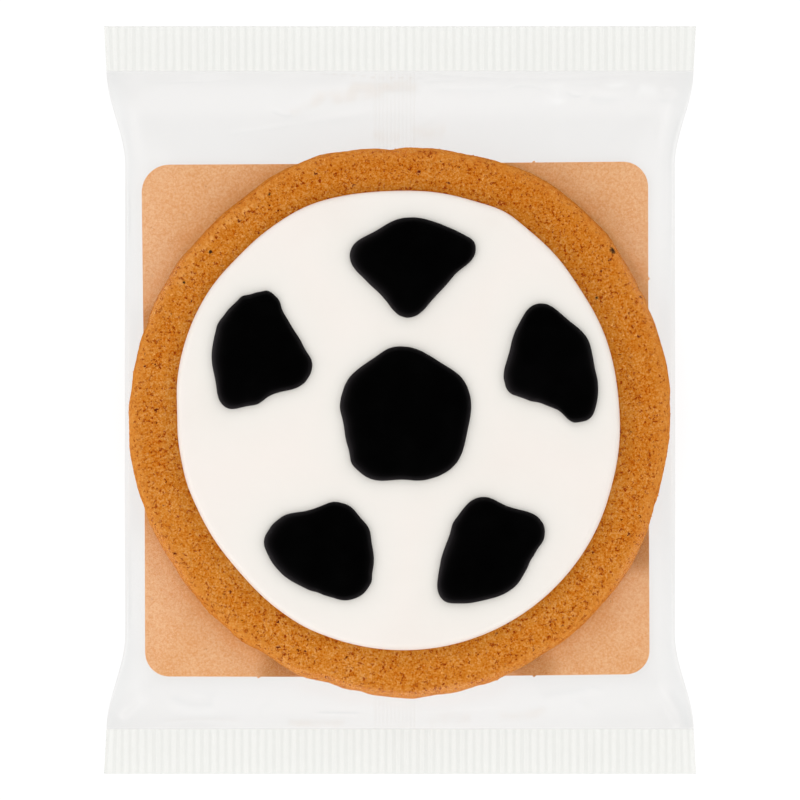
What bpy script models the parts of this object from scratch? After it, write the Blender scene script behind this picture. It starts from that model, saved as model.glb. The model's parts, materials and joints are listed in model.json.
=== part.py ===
"""Iced gingerbread biscuit on a backing card, sealed in a clear film sleeve.

The pack lies flat on its back with the iced side up. Its length runs along Y and its width
along X. The origin is the middle of the pack on the surface that it lies on. Driving dimensions
are in millimetres and every mesh is made in metres.
"""

import math
from dataclasses import dataclass

import bmesh
import bpy

MM = 0.001

# Film sleeve: a tube of film whose two ends are pressed flat and crimped.
PACK_LENGTH = 165.8
BODY_WIDTH = 122.0
SEAL_WIDTH_INNER = 130.2
SEAL_WIDTH_OUTER = 131.3
SEAL_LENGTH = 10.0
SEAL_HEIGHT = 3.6
SEAL_HALF_THICKNESS = 0.4
SEAL_GAP = 0.12
FILM_WALL = 0.2
RIB_COUNT = 74
RIB_DEPTH = 0.22
RIB_RUN_IN = 0.8
FLARE_START = 52.0
TOP_CORNER = 3.5
BOTTOM_CORNER = 2.5
CORNER_STEPS = 4
CROWN_DROP = 1.6
CROWN_START = 44.0
# Places of the film's points between a corner and the middle, as shares of the half width.
TOP_COLUMNS = (0.88, 0.78, 0.6, 0.3)
BOTTOM_COLUMNS = (0.6, 0.3)
# Rows of points along the tapering ends: their spacing, where they begin, and how far the last
# one stays back from the crimp.
TAPER_ROW = 2.3
TAPER_ROWS_FROM = 44.0
LAST_ROW_BACK = 1.6
# Where the film starts to fall towards each crimp, and to lift off the surface below it.
TOP_FALL_START = {1: 44.0, -1: 56.0}
BOTTOM_LIFT_START = {1: 56.0, -1: 62.0}

# Back seam: a flat fin folded against the back of the sleeve.
FIN_THICKNESS = 0.3
FIN_LEFT = -6.1
FIN_RIGHT = 3.4

# Contents, stacked from the back of the film upwards with a small gap between touching pieces.
STACK_GAP = 0.2
CARD_WIDTH = 111.5
CARD_LENGTH = 113.4
CARD_THICKNESS = 0.45
CARD_CORNER = 5.5
CARD_CORNER_STEPS = 6
CARD_CENTRE = (-0.9, -4.5)
CARD_TURN = 0.35

BISCUIT_RADIUS = 60.9
BISCUIT_CENTRE = (0.2, -4.5)
BISCUIT_THICKNESS = 6.0
BISCUIT_DRAFT = 1.6
BISCUIT_TOP_ROUND = 2.0
BISCUIT_FOOT_ROUND = 0.9
# Low lobes of a hand-cut outline: waves round the rim, height, bearing of a peak in degrees.
BISCUIT_LOBES = ((2, 0.5, 86.0), (3, 0.35, 49.0), (4, 0.2, 42.0), (5, 0.15, 41.0))

ICING_RADIUS = 50.2
ICING_CENTRE = (-0.2, -4.1)
ICING_THICKNESS = 1.3
ICING_ROUND = 0.9
ICING_LOBES = ((2, 1.05, 104.7), (3, 0.33, 44.0), (4, 0.2, 61.0))

ROUND_POINTS = 96

# Black icing patches: middle, then (bearing in degrees, radius) of the points that the rim
# passes through.
PATCH_THICKNESS = 0.7
PATCH_ROUND = 0.5
PATCH_CURVE_STEPS = 4
PATCHES = {
    "centre": (
        (1.1, -3.6),
        ((26, 15.3), (54, 14.3), (96, 15.6), (126, 14.6), (154, 15.0), (192, 13.7),
         (210, 14.4), (236, 16.0), (266, 14.0), (310, 15.5), (346, 14.2)),
    ),
    "top": (
        (2.6, 30.7),
        ((14, 14.6), (28, 12.9), (46, 10.9), (100, 9.8), (140, 10.6), (172, 13.9),
         (196, 11.5), (224, 10.1), (266, 12.3), (310, 9.2), (346, 10.2)),
    ),
    "upper_left": (
        (-31.7, 10.6),
        ((8, 10.4), (34, 9.6), (56, 10.6), (80, 14.0), (92, 13.1), (124, 11.3),
         (176, 9.9), (214, 11.0), (240, 14.1), (258, 12.3), (290, 10.0), (338, 12.9)),
    ),
    "upper_right": (
        (33.8, 8.0),
        ((12, 9.0), (42, 9.7), (72, 10.5), (104, 13.8), (132, 11.5), (162, 10.0),
         (206, 11.5), (254, 9.1), (278, 10.4), (302, 14.8), (330, 11.6)),
    ),
    "lower_left": (
        (-16.9, -33.3),
        ((2, 10.9), (46, 11.0), (66, 11.4), (104, 9.5), (166, 13.4), (198, 11.3),
         (250, 9.3), (276, 10.2), (310, 13.0), (336, 11.8)),
    ),
    "lower_right": (
        (19.4, -33.5),
        ((26, 13.8), (68, 10.9), (98, 12.2), (126, 10.5), (162, 9.2), (198, 11.2),
         (226, 14.7), (242, 13.0), (260, 11.2), (304, 9.9), (338, 9.5), (358, 10.5)),
    ),
}

# Heights that follow from the stack.
SEAL_START = PACK_LENGTH / 2 - SEAL_LENGTH
FILM_LOW = 0.0
CARD_LOW = FILM_LOW + FIN_THICKNESS + FILM_WALL + STACK_GAP
BISCUIT_LOW = CARD_LOW + CARD_THICKNESS + STACK_GAP
ICING_LOW = BISCUIT_LOW + BISCUIT_THICKNESS + STACK_GAP
PATCH_LOW = ICING_LOW + ICING_THICKNESS + STACK_GAP
FILM_HIGH = PATCH_LOW + PATCH_THICKNESS + STACK_GAP + FILM_WALL

# name: (base colour, roughness, metallic, alpha)
FINISHES = {
    "film": ((0.9, 0.9, 0.88), 0.15, 0.0, 0.3),
    "card": ((0.8, 0.41, 0.19), 0.85, 0.0, 1.0),
    "biscuit": ((0.57, 0.18, 0.02), 0.9, 0.0, 1.0),
    "white_icing": ((0.9, 0.86, 0.8), 0.45, 0.0, 1.0),
    "black_icing": ((0.004, 0.004, 0.004), 0.25, 0.0, 1.0),
}


@dataclass(frozen=True)
class Skin:
    """One face of the film: how far it lies inside the outer face, and its seal half thickness."""

    inset: float
    seal_half: float


# The share of the way round at which a ring of the film closes on itself.
RING_END = 2.0

OUTER = Skin(inset=0.0, seal_half=SEAL_HALF_THICKNESS)
INNER = Skin(inset=FILM_WALL, seal_half=SEAL_GAP / 2)


def ease(value, start, end):
    """0 before start, 1 after end and a smooth S curve between them."""
    share = min(1.0, max(0.0, (value - start) / (end - start)))
    return share * share * (3 - 2 * share)


def mix(first, second, share):
    return first + (second - first) * share


# ---------------------------------------------------------------------------- scene


def clear_scene():
    for old in list(bpy.data.objects):
        bpy.data.objects.remove(old, do_unlink=True)


def make_collection(name):
    collection = bpy.data.collections.new(name)
    bpy.context.scene.collection.children.link(collection)
    return collection


def make_material(name):
    colour, roughness, metallic, alpha = FINISHES[name]
    material = bpy.data.materials.new(name)
    material.use_nodes = True
    shader = material.node_tree.nodes["Principled BSDF"]
    shader.inputs["Base Color"].default_value = (*colour, 1.0)
    shader.inputs["Roughness"].default_value = roughness
    shader.inputs["Metallic"].default_value = metallic
    shader.inputs["Alpha"].default_value = alpha
    material.diffuse_color = (*colour, alpha)
    return material


def place(mesh, name, material, collection):
    """A smooth-shaded object in the collection that holds this mesh."""
    mesh.materials.clear()
    mesh.materials.append(material)
    mesh.shade_smooth()
    mesh.set_sharp_from_angle(angle=math.radians(35))
    obj = bpy.data.objects.new(name, mesh)
    collection.objects.link(obj)
    return obj


# ---------------------------------------------------------------------------- film sleeve


def half_width(y, skin):
    reach = abs(y)
    flare = ease(reach, FLARE_START, SEAL_START)
    inner = mix(BODY_WIDTH / 2, SEAL_WIDTH_INNER / 2, flare)
    past_seal = max(0.0, reach - SEAL_START) / SEAL_LENGTH
    return mix(inner, SEAL_WIDTH_OUTER / 2, past_seal) - skin.inset


def film_heights(y, skin):
    """Lowest and highest point of the film's cross-section at this place along the pack."""
    end = 1 if y > 0 else -1
    fall = ease(abs(y), TOP_FALL_START[end], SEAL_START)
    lift = bottom_lift(y)
    high = mix(FILM_HIGH - skin.inset, SEAL_HEIGHT + skin.seal_half, fall)
    low = mix(FILM_LOW + skin.inset, SEAL_HEIGHT - skin.seal_half, lift)
    return low, high


def bottom_lift(y):
    """0 where the back of the film lies on the surface, rising to 1 at the crimp."""
    end = 1 if y > 0 else -1
    return ease(abs(y), BOTTOM_LIFT_START[end], SEAL_START)


def fin_drop(x):
    """How far the folded back seam stands below the crimp at this place across the pack."""
    return FIN_THICKNESS if FIN_LEFT <= x <= FIN_RIGHT else 0.0


def section(y, skin):
    """Smooth closed cross-section: (x, z, share of the way round) from the left side over the top.

    The share runs from 0 to 1 over the top and from 1 to 2 back along the bottom, and is what
    rows with different counts of points are matched by.
    """
    half = half_width(y, skin)
    low, high = film_heights(y, skin)
    fullness = (high - low) / (FILM_HIGH - FILM_LOW)
    top_round = TOP_CORNER * fullness
    bottom_round = BOTTOM_CORNER * fullness

    def crown(x):
        return CROWN_DROP * fullness * ease(abs(x), CROWN_START, half)

    over = []
    for step in range(CORNER_STEPS + 1):
        turn = math.pi / 2 * step / CORNER_STEPS
        x = half - top_round * (1 - math.cos(turn))
        over.append((x, high - crown(x) - top_round * (1 - math.sin(turn))))
    over += [(share * half, high - crown(share * half)) for share in TOP_COLUMNS]
    top = [(-x, z) for x, z in over] + [(0.0, high)] + over[::-1]

    corner = []
    for step in range(CORNER_STEPS + 1):
        turn = math.pi / 2 * step / CORNER_STEPS
        x = half - bottom_round * (1 - math.cos(turn))
        corner.append((x, low + bottom_round * (1 - math.sin(turn))))
    side = corner + [(share * half, low) for share in BOTTOM_COLUMNS]
    # The film sags back to the surface on either side of the fin that lifts it.
    root = low + FIN_THICKNESS * (1 - bottom_lift(y))
    fin = [(FIN_RIGHT, root), (FIN_LEFT, root)]
    if skin is OUTER:
        fin[1:1] = [(FIN_RIGHT, root - FIN_THICKNESS), (FIN_LEFT, root - FIN_THICKNESS)]
    bottom = side + fin + [(-x, z) for x, z in reversed(side)]

    ring = [(x, z, (1 + x / half) / 2) for x, z in top]
    ring += [(x, z, 1 + (1 - x / half) / 2) for x, z in bottom]
    return ring


def ribbed_section(y, depth):
    """Cross-section of the crimped seal, whose upper and lower faces share one row of ribs."""
    half = half_width(y, OUTER)
    columns = range(2 * RIB_COUNT + 1)
    place_across = [half * (column / RIB_COUNT - 1) for column in columns]
    wave = [SEAL_HEIGHT + (depth if column % 2 else -depth) for column in columns]
    ring = [
        (x, z + SEAL_HALF_THICKNESS, (1 + x / half) / 2)
        for x, z in zip(place_across, wave)
    ]
    ring += [
        (x, z - SEAL_HALF_THICKNESS - fin_drop(x), 1 + (1 - x / half) / 2)
        for x, z in zip(reversed(place_across), reversed(wave))
    ]
    return ring


def add_ring(mesh, y, ring):
    verts = [mesh.verts.new((x * MM, y * MM, z * MM)) for x, z, _ in ring]
    return verts, [share for _, _, share in ring]


def middles(shares):
    """Where round the ring each step to the next point has its middle, and none past the last."""
    steps = zip(shares, shares[1:] + [RING_END])
    return [(here + after) / 2 for here, after in steps] + [math.inf]


def bridge(mesh, first, second):
    """Faces between two closed rings of points, which may differ in number."""
    verts_a, shares_a = first
    verts_b, shares_b = second
    if len(verts_a) == len(verts_b):
        for i in range(len(verts_a)):
            mesh.faces.new((verts_a[i - 1], verts_a[i], verts_b[i], verts_b[i - 1]))
        return
    middles_a = middles(shares_a)
    middles_b = middles(shares_b)
    a = b = 0
    while a < len(verts_a) or b < len(verts_b):
        here_a = verts_a[a % len(verts_a)]
        here_b = verts_b[b % len(verts_b)]
        if middles_a[a] <= middles_b[b]:
            a += 1
            mesh.faces.new((here_a, verts_a[a % len(verts_a)], here_b))
        else:
            b += 1
            mesh.faces.new((here_a, verts_b[b % len(verts_b)], here_b))


def taper_rows():
    """Places along the pack of the smooth rows, from the far seal's inner line to the near one."""
    run = SEAL_START - LAST_ROW_BACK - TAPER_ROWS_FROM
    count = math.ceil(run / TAPER_ROW)
    end_rows = [TAPER_ROWS_FROM + run * row / count for row in range(count + 1)]
    return [-y for y in reversed(end_rows)] + [0.0] + end_rows


def make_film(material, collection):
    """The sleeve: an outer face with crimped ends and an inner face, open along the end cuts.

    The two film layers of a crimp lie face to face with a hairline between them, so the hollow
    is open to the air at both end cuts.
    """
    mesh = bmesh.new()
    rows = taper_rows()
    end_cut = PACK_LENGTH / 2
    crimp = [(SEAL_START, 0.0), (SEAL_START + RIB_RUN_IN, RIB_DEPTH), (end_cut, RIB_DEPTH)]
    outer = [add_ring(mesh, -y, ribbed_section(-y, depth)) for y, depth in reversed(crimp)]
    outer += [add_ring(mesh, y, section(y, OUTER)) for y in rows]
    outer += [add_ring(mesh, y, ribbed_section(y, depth)) for y, depth in crimp]
    inner_rows = [-end_cut, -SEAL_START, *rows, SEAL_START, end_cut]
    inner = [add_ring(mesh, y, section(y, INNER)) for y in inner_rows]
    for face in (outer, inner):
        for first, second in zip(face, face[1:]):
            bridge(mesh, first, second)
    bridge(mesh, outer[0], inner[0])
    bridge(mesh, outer[-1], inner[-1])
    bmesh.ops.recalc_face_normals(mesh, faces=mesh.faces)
    data = bpy.data.meshes.new("film_wrap")
    mesh.to_mesh(data)
    mesh.free()
    return place(data, "film_wrap", material, collection)


# ---------------------------------------------------------------------------- flat pieces


def lobed_circle(radius, lobes):
    """Points of a circle whose radius swells and falls by a few low waves."""
    points = []
    for step in range(ROUND_POINTS):
        bearing = 2 * math.pi * step / ROUND_POINTS
        reach = radius + sum(
            height * math.cos(waves * (bearing - math.radians(peak)))
            for waves, height, peak in lobes
        )
        points.append((reach * math.cos(bearing), reach * math.sin(bearing)))
    return points


def rounded_rectangle(width, length, corner, steps, turn):
    """Points of a rectangle with round corners, turned about its middle by some degrees."""
    points = []
    for quarter, (side_x, side_y) in enumerate(((1, 1), (-1, 1), (-1, -1), (1, -1))):
        for step in range(steps + 1):
            bearing = math.pi / 2 * (quarter + step / steps)
            x = side_x * (width / 2 - corner) + corner * math.cos(bearing)
            y = side_y * (length / 2 - corner) + corner * math.sin(bearing)
            points.append((x, y))
    cos_turn, sin_turn = math.cos(math.radians(turn)), math.sin(math.radians(turn))
    return [(x * cos_turn - y * sin_turn, x * sin_turn + y * cos_turn) for x, y in points]


def outline_curve(name, points, thickness, smooth_steps=0):
    """A filled 2D curve of this thickness; with smooth_steps it is a smooth line through the points."""
    curve = bpy.data.curves.new(name, "CURVE")
    curve.dimensions = "2D"
    curve.fill_mode = "BOTH"
    curve.extrude = thickness / 2 * MM
    if smooth_steps:
        curve.resolution_u = smooth_steps
        spline = curve.splines.new("BEZIER")
        spline.bezier_points.add(len(points) - 1)
        for knot, (x, y) in zip(spline.bezier_points, points):
            knot.co = (x * MM, y * MM, 0.0)
            knot.handle_left_type = "AUTO"
            knot.handle_right_type = "AUTO"
    else:
        spline = curve.splines.new("POLY")
        spline.points.add(len(points) - 1)
        for knot, (x, y) in zip(spline.points, points):
            knot.co = (x * MM, y * MM, 0.0, 1.0)
    spline.use_cyclic_u = True
    return bpy.data.objects.new(name + "_outline", curve)


def curve_to_mesh(curve_obj):
    """The curve's solid as a mesh with welded caps that are one face each; the curve is removed."""
    bpy.context.scene.collection.objects.link(curve_obj)
    graph = bpy.context.evaluated_depsgraph_get()
    data = bpy.data.meshes.new_from_object(curve_obj.evaluated_get(graph))
    bpy.data.objects.remove(curve_obj, do_unlink=True)
    mesh = bmesh.new()
    mesh.from_mesh(data)
    bmesh.ops.remove_doubles(mesh, verts=mesh.verts, dist=1e-6)
    caps = [face for face in mesh.faces if abs(face.normal.z) > 0.9]
    seams = {edge for face in caps for edge in face.edges if all(f in caps for f in edge.link_faces)}
    bmesh.ops.dissolve_edges(mesh, edges=list(seams), use_verts=False)
    bmesh.ops.recalc_face_normals(mesh, faces=mesh.faces)
    mesh.to_mesh(data)
    mesh.free()
    return data


def draw_in_top(data, radius, draft):
    """Slopes the side: the upper rim is drawn in towards the middle by the draft."""
    share = 1 - draft / radius
    for vertex in data.vertices:
        if vertex.co.z > 0:
            vertex.co.x *= share
            vertex.co.y *= share


def round_rims(obj, top_round, foot_round, steps):
    """Rounds the upper rim fully and the lower rim by its own smaller radius."""
    data = obj.data
    weights = data.attributes.new("bevel_weight_edge", "FLOAT", "EDGE")
    for edge in data.edges:
        heights = [data.vertices[index].co.z for index in edge.vertices]
        if min(heights) > 0:
            weights.data[edge.index].value = 1.0
        elif max(heights) < 0:
            weights.data[edge.index].value = foot_round / top_round
    bevel = obj.modifiers.new("rims", "BEVEL")
    bevel.limit_method = "WEIGHT"
    bevel.width = top_round * MM
    bevel.segments = steps
    bevel.use_clamp_overlap = True


def make_slab(name, curve_obj, centre, low, thickness, material, collection):
    """A flat solid from an outline, standing on the height low."""
    obj = place(curve_to_mesh(curve_obj), name, material, collection)
    obj.location = (centre[0] * MM, centre[1] * MM, (low + thickness / 2) * MM)
    return obj


def make_card(material, collection):
    points = rounded_rectangle(
        CARD_WIDTH, CARD_LENGTH, CARD_CORNER, CARD_CORNER_STEPS, CARD_TURN
    )
    curve = outline_curve("backing_card", points, CARD_THICKNESS)
    return make_slab(
        "backing_card", curve, CARD_CENTRE, CARD_LOW, CARD_THICKNESS, material, collection
    )


def make_biscuit(material, collection):
    points = lobed_circle(BISCUIT_RADIUS, BISCUIT_LOBES)
    curve = outline_curve("gingerbread", points, BISCUIT_THICKNESS)
    obj = make_slab(
        "gingerbread", curve, BISCUIT_CENTRE, BISCUIT_LOW, BISCUIT_THICKNESS, material, collection
    )
    draw_in_top(obj.data, BISCUIT_RADIUS, BISCUIT_DRAFT)
    round_rims(obj, BISCUIT_TOP_ROUND, BISCUIT_FOOT_ROUND, steps=4)
    return obj


def make_white_icing(material, collection):
    points = lobed_circle(ICING_RADIUS, ICING_LOBES)
    curve = outline_curve("white_icing", points, ICING_THICKNESS)
    obj = make_slab(
        "white_icing", curve, ICING_CENTRE, ICING_LOW, ICING_THICKNESS, material, collection
    )
    round_rims(obj, ICING_ROUND, 0.0, steps=3)
    return obj


def make_patch(place_name, material, collection):
    """One black patch with a smooth uneven rim and a rounded upper edge."""
    centre, rim = PATCHES[place_name]
    points = [
        (radius * math.cos(math.radians(bearing)), radius * math.sin(math.radians(bearing)))
        for bearing, radius in rim
    ]
    name = f"black_patch_{place_name}"
    curve = outline_curve(name, points, PATCH_THICKNESS, PATCH_CURVE_STEPS)
    obj = make_slab(name, curve, centre, PATCH_LOW, PATCH_THICKNESS, material, collection)
    round_rims(obj, PATCH_ROUND, 0.0, steps=3)
    return obj


def main():
    clear_scene()
    pack = make_collection("gingerbread_biscuit_pack")
    materials = {name: make_material(name) for name in FINISHES}
    make_film(materials["film"], pack)
    make_card(materials["card"], pack)
    make_biscuit(materials["biscuit"], pack)
    make_white_icing(materials["white_icing"], pack)
    for place_name in PATCHES:
        make_patch(place_name, materials["black_icing"], pack)


if __name__ == "__main__":
    main()
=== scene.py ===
"""Looks of an iced gingerbread biscuit on a kraft card, sealed in a clear film sleeve.

The pack lies flat with the icing up. Sizes are in millimetres; meshes are made in metres, in the
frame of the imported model: +Z up through the icing and +Y along the pack.
"""

import json
import logging
import math
from dataclasses import dataclass, field
from enum import Enum
from typing import Any, Callable, Iterable

import bmesh
import bpy
import numpy as np
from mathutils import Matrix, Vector

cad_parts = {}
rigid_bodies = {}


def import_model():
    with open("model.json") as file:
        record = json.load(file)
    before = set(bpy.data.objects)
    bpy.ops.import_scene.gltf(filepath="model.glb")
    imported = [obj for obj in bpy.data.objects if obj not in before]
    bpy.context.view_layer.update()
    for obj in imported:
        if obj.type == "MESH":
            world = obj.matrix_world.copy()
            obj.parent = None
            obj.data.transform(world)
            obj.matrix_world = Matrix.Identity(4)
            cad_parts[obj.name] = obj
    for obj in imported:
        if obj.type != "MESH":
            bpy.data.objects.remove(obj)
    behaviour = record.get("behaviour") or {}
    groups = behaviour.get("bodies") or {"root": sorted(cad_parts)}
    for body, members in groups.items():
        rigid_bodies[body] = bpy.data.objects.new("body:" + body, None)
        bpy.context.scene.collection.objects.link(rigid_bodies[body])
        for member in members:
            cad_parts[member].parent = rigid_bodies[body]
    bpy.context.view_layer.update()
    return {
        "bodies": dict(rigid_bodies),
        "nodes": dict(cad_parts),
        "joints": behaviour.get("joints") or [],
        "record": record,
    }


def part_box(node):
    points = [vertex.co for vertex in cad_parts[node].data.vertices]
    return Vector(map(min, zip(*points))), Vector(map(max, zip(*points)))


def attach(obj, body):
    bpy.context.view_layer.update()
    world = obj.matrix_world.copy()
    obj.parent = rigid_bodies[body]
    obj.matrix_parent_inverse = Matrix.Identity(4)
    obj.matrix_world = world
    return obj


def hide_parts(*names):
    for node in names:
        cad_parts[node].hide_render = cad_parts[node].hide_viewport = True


LOG = logging.getLogger("gingerbread pack")
MM = 0.001
BODY = "root"

Colour = tuple[float, float, float]
Point = tuple[float, float]
Spot = tuple[float, float, float]
Array = np.ndarray


# ------------------------------------------------------------------------------ numbers


def ease(value: Array | float, start: float, end: float) -> Array:
    """Smooth S curve from 0 at start to 1 at end.

    Args:
        value: Where to read the curve.
        start: Where it leaves 0.
        end: Where it reaches 1; it may lie below start.

    Returns:
        The height of the curve, between 0 and 1.
    """
    share = np.clip((np.asarray(value, float) - start) / (end - start), 0.0, 1.0)
    return share * share * (3 - 2 * share)


def mix(first: Array | float, second: Array | float, share: Array | float) -> Array:
    """Straight blend from first at share 0 to second at share 1."""
    return first + (second - first) * share


def wavy(x: Array, y: Array, size: float, seed: int, waves: int = 7) -> Array:
    """Smooth seeded unevenness made of a few crossing waves.

    Args:
        x: Places along X.
        y: Places along Y.
        size: Typical distance between two crests.
        seed: Seed of the waves' bearings and phases.
        waves: How many waves are summed.

    Returns:
        Heights that mostly lie between -1 and 1.
    """
    draw = np.random.default_rng(seed)
    total = np.zeros(np.broadcast(x, y).shape)
    for _ in range(waves):
        bearing = draw.uniform(0, math.tau)
        pitch = size * draw.uniform(0.7, 1.6)
        phase = draw.uniform(0, math.tau)
        along = x * math.cos(bearing) + y * math.sin(bearing)
        total += np.sin(math.tau * along / pitch + phase)
    return total / math.sqrt(waves)


# ------------------------------------------------------------------------------ meshes


def add_object(name: str, data: bpy.types.ID) -> bpy.types.Object:
    """Puts a new object in the scene.

    Args:
        name: The object's name.
        data: Its mesh, lamp or camera.

    Returns:
        The object.
    """
    obj = bpy.data.objects.new(name, data)
    bpy.context.scene.collection.objects.link(obj)
    return obj


def piece_from_arrays(name: str, points: Array, faces: Iterable) -> bpy.types.Object:
    """A smooth-shaded object from points and faces.

    Args:
        name: The piece's name.
        points: Corner places in millimetres, one row each.
        faces: Corner numbers of each face, turning left as seen from outside.

    Returns:
        The new object, linked to the scene.
    """
    mesh = bpy.data.meshes.new(name)
    mesh.from_pydata((np.asarray(points) * MM).tolist(), [], [list(face) for face in faces])
    mesh.update()
    mesh.shade_smooth()
    return add_object(name, mesh)


def places_of(obj: bpy.types.Object) -> Array:
    """Where the points of a piece or a node are, in millimetres, one row each."""
    return np.array([vertex.co for vertex in obj.data.vertices]) / MM


def set_point_values(obj: bpy.types.Object, name: str, values: Array) -> None:
    """Stores one number for each point of the piece, which its finish can read.

    Args:
        obj: The piece.
        name: The attribute's name.
        values: One number for each point.
    """
    attribute = obj.data.attributes.new(name, "FLOAT", "POINT")
    attribute.data.foreach_set("value", np.asarray(values, np.float32).ravel())


def point_values(obj: bpy.types.Object, name: str) -> Array:
    """Reads back what set_point_values or a node tree has stored.

    Args:
        obj: The piece.
        name: The attribute's name.

    Returns:
        One number for each point.
    """
    values = np.zeros(len(obj.data.vertices), np.float32)
    obj.data.attributes[name].data.foreach_get("value", values)
    return values


def grid_faces(rows: int, columns: int, closed: bool) -> Array:
    """Four-cornered faces between rows of points.

    Args:
        rows: Rows of points.
        columns: Points in a row.
        closed: Whether each row is a ring.

    Returns:
        Corner numbers, one face in each row of the array.
    """
    row = np.arange(rows - 1)[:, None] * columns
    step = np.arange(columns if closed else columns - 1)[None, :]
    after = (step + 1) % columns
    corners = [row + step, row + after, row + columns + after, row + columns + step]
    return np.stack([corner.ravel() for corner in corners], axis=1)


def apply_modifiers(obj: bpy.types.Object) -> None:
    """Turns what the piece's modifiers make into its plain mesh, and removes them.

    Args:
        obj: The piece.
    """
    graph = bpy.context.evaluated_depsgraph_get()
    made = bpy.data.meshes.new_from_object(obj.evaluated_get(graph))
    made.name = obj.name
    obj.modifiers.clear()
    old, obj.data = obj.data, made
    bpy.data.meshes.remove(old)


def run_nodes(obj: bpy.types.Object, tree: bpy.types.NodeTree, values: dict[str, Any]) -> None:
    """Runs a geometry node tree on a piece and keeps what it makes as a plain mesh.

    Args:
        obj: The piece.
        tree: The tree.
        values: The tree's inputs by name.
    """
    modifier = obj.modifiers.new(tree.name, "NODES")
    modifier.node_group = tree
    names = {
        item.name: item.identifier
        for item in tree.interface.items_tree
        if item.item_type == "SOCKET" and item.in_out == "INPUT"
    }
    for name, value in values.items():
        modifier[names[name]] = value
    apply_modifiers(obj)


def lengths_of(piece: Any, names: Iterable[str]) -> dict[str, float]:
    """The fields of a piece that hold these lengths, in metres, for the inputs of its tree."""
    return {name: getattr(piece, name.lower().replace(" ", "_")) * MM for name in names}


@dataclass(frozen=True)
class Outline:
    """A closed outline round a middle: how far it reaches at evenly spaced bearings."""

    middle: Point
    reaches: Array

    @classmethod
    def of_node(cls, node: bpy.types.Object, softness: float, steps: int = 1440) -> "Outline":
        """Reads the outline of a round CAD node as seen from above.

        Args:
            node: The node's object.
            softness: Bearing in degrees over which its flat facets are smoothed.
            steps: How many bearings are read.

        Returns:
            The outline.
        """
        points = places_of(node)[:, :2]
        middle = (points.min(0) + points.max(0)) / 2
        edges = np.array([edge.vertices[:] for edge in node.data.edges])
        start = points[edges[:, 0]] - middle
        run = points[edges[:, 1]] - middle - start
        reaches = np.zeros(steps)
        for index, bearing in enumerate(np.linspace(0, math.tau, steps, endpoint=False)):
            ahead = np.array([math.cos(bearing), math.sin(bearing)])
            left = np.array([-ahead[1], ahead[0]])
            across = run @ left
            across = np.where(np.abs(across) < 1e-9, 1e-9, across)
            share = -(start @ left) / across
            reach = (start + run * share[:, None]) @ ahead
            reaches[index] = reach[(share >= 0) & (share <= 1)].max()
        waves = np.fft.rfftfreq(steps, 1 / steps)
        soften = np.exp(-((waves * math.radians(softness)) ** 2) / 2)
        reaches = np.fft.irfft(np.fft.rfft(reaches) * soften, steps)
        return cls((float(middle[0]), float(middle[1])), reaches)

    def swelled(self, swells: Iterable[tuple[float, float, float]]) -> "Outline":
        """The outline pushed out or drawn in over a few stretches.

        Args:
            swells: For each stretch its bearing and half width in degrees, and the millimetres
                that it is pushed outwards.

        Returns:
            The changed outline.
        """
        bearing = np.linspace(0, 360, len(self.reaches), endpoint=False)
        reaches = self.reaches.copy()
        for degrees, spread, push in swells:
            away = (bearing - degrees + 180) % 360 - 180
            reaches += push * np.exp(-((away / spread) ** 2))
        return Outline(self.middle, reaches)

    def reach(self, bearing: Array) -> Array:
        """How far the outline reaches.

        Args:
            bearing: Bearings in radians, from +X towards +Y.

        Returns:
            Millimetres from the middle.
        """
        steps = len(self.reaches)
        place = (np.asarray(bearing) / math.tau % 1.0) * steps
        before = np.floor(place).astype(int)
        share = place - before
        return mix(self.reaches[before % steps], self.reaches[(before + 1) % steps], share)

    def depth_inside(self, x: Array, y: Array) -> Array:
        """How deep points lie inside the outline, in millimetres; outside it is negative."""
        dx, dy = x - self.middle[0], y - self.middle[1]
        return self.reach(np.arctan2(dy, dx)) - np.hypot(dx, dy)


def turned_piece(
    name: str,
    outline: Outline,
    profile: Array,
    columns: int,
    lift: Callable[[Array, Array, Array, Array], Array] | None = None,
) -> tuple[bpy.types.Object, Array]:
    """A closed round solid: a profile carried round an outline.

    Args:
        name: The piece's name.
        outline: The outline that the profile follows.
        profile: Rows of (distance inside the outline, height), from under the middle outwards
            and back over the top. The first and last are the two poles.
        columns: Points round the outline.
        lift: Gives the change of height from the places across X and Y, the distance inside the
            outline and the row's height. None leaves the heights alone.

    Returns:
        The piece, and the distance inside the outline of each of its points.
    """
    bearing = np.linspace(0, math.tau, columns, endpoint=False)
    reach = outline.reach(bearing)
    middle_x, middle_y = outline.middle
    inset = profile[1:-1, :1] * np.ones(columns)
    radius = np.maximum(reach - inset, 0.02 * reach)
    x = middle_x + radius * np.cos(bearing)
    y = middle_y + radius * np.sin(bearing)
    height = profile[1:-1, 1:] * np.ones(columns)
    if lift is not None:
        height = height + lift(x, y, inset, height)
    rings = np.stack([x.ravel(), y.ravel(), height.ravel()], axis=1)
    poles = np.array([[middle_x, middle_y, profile[0, 1]], [middle_x, middle_y, height[-1].mean()]])
    faces = grid_faces(len(profile) - 2, columns, closed=True).tolist()
    around = np.arange(columns)
    after = (around + 1) % columns
    under, over = len(rings), len(rings) + 1
    last = (len(profile) - 3) * columns
    faces += [(under, j, i) for i, j in zip(around.tolist(), after.tolist())]
    faces += [(over, last + i, last + j) for i, j in zip(around.tolist(), after.tolist())]
    obj = piece_from_arrays(name, np.concatenate([rings, poles]), faces)
    return obj, np.concatenate([inset.ravel(), [reach.mean(), reach.mean()]])


# ------------------------------------------------------------------------------ node trees


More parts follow.
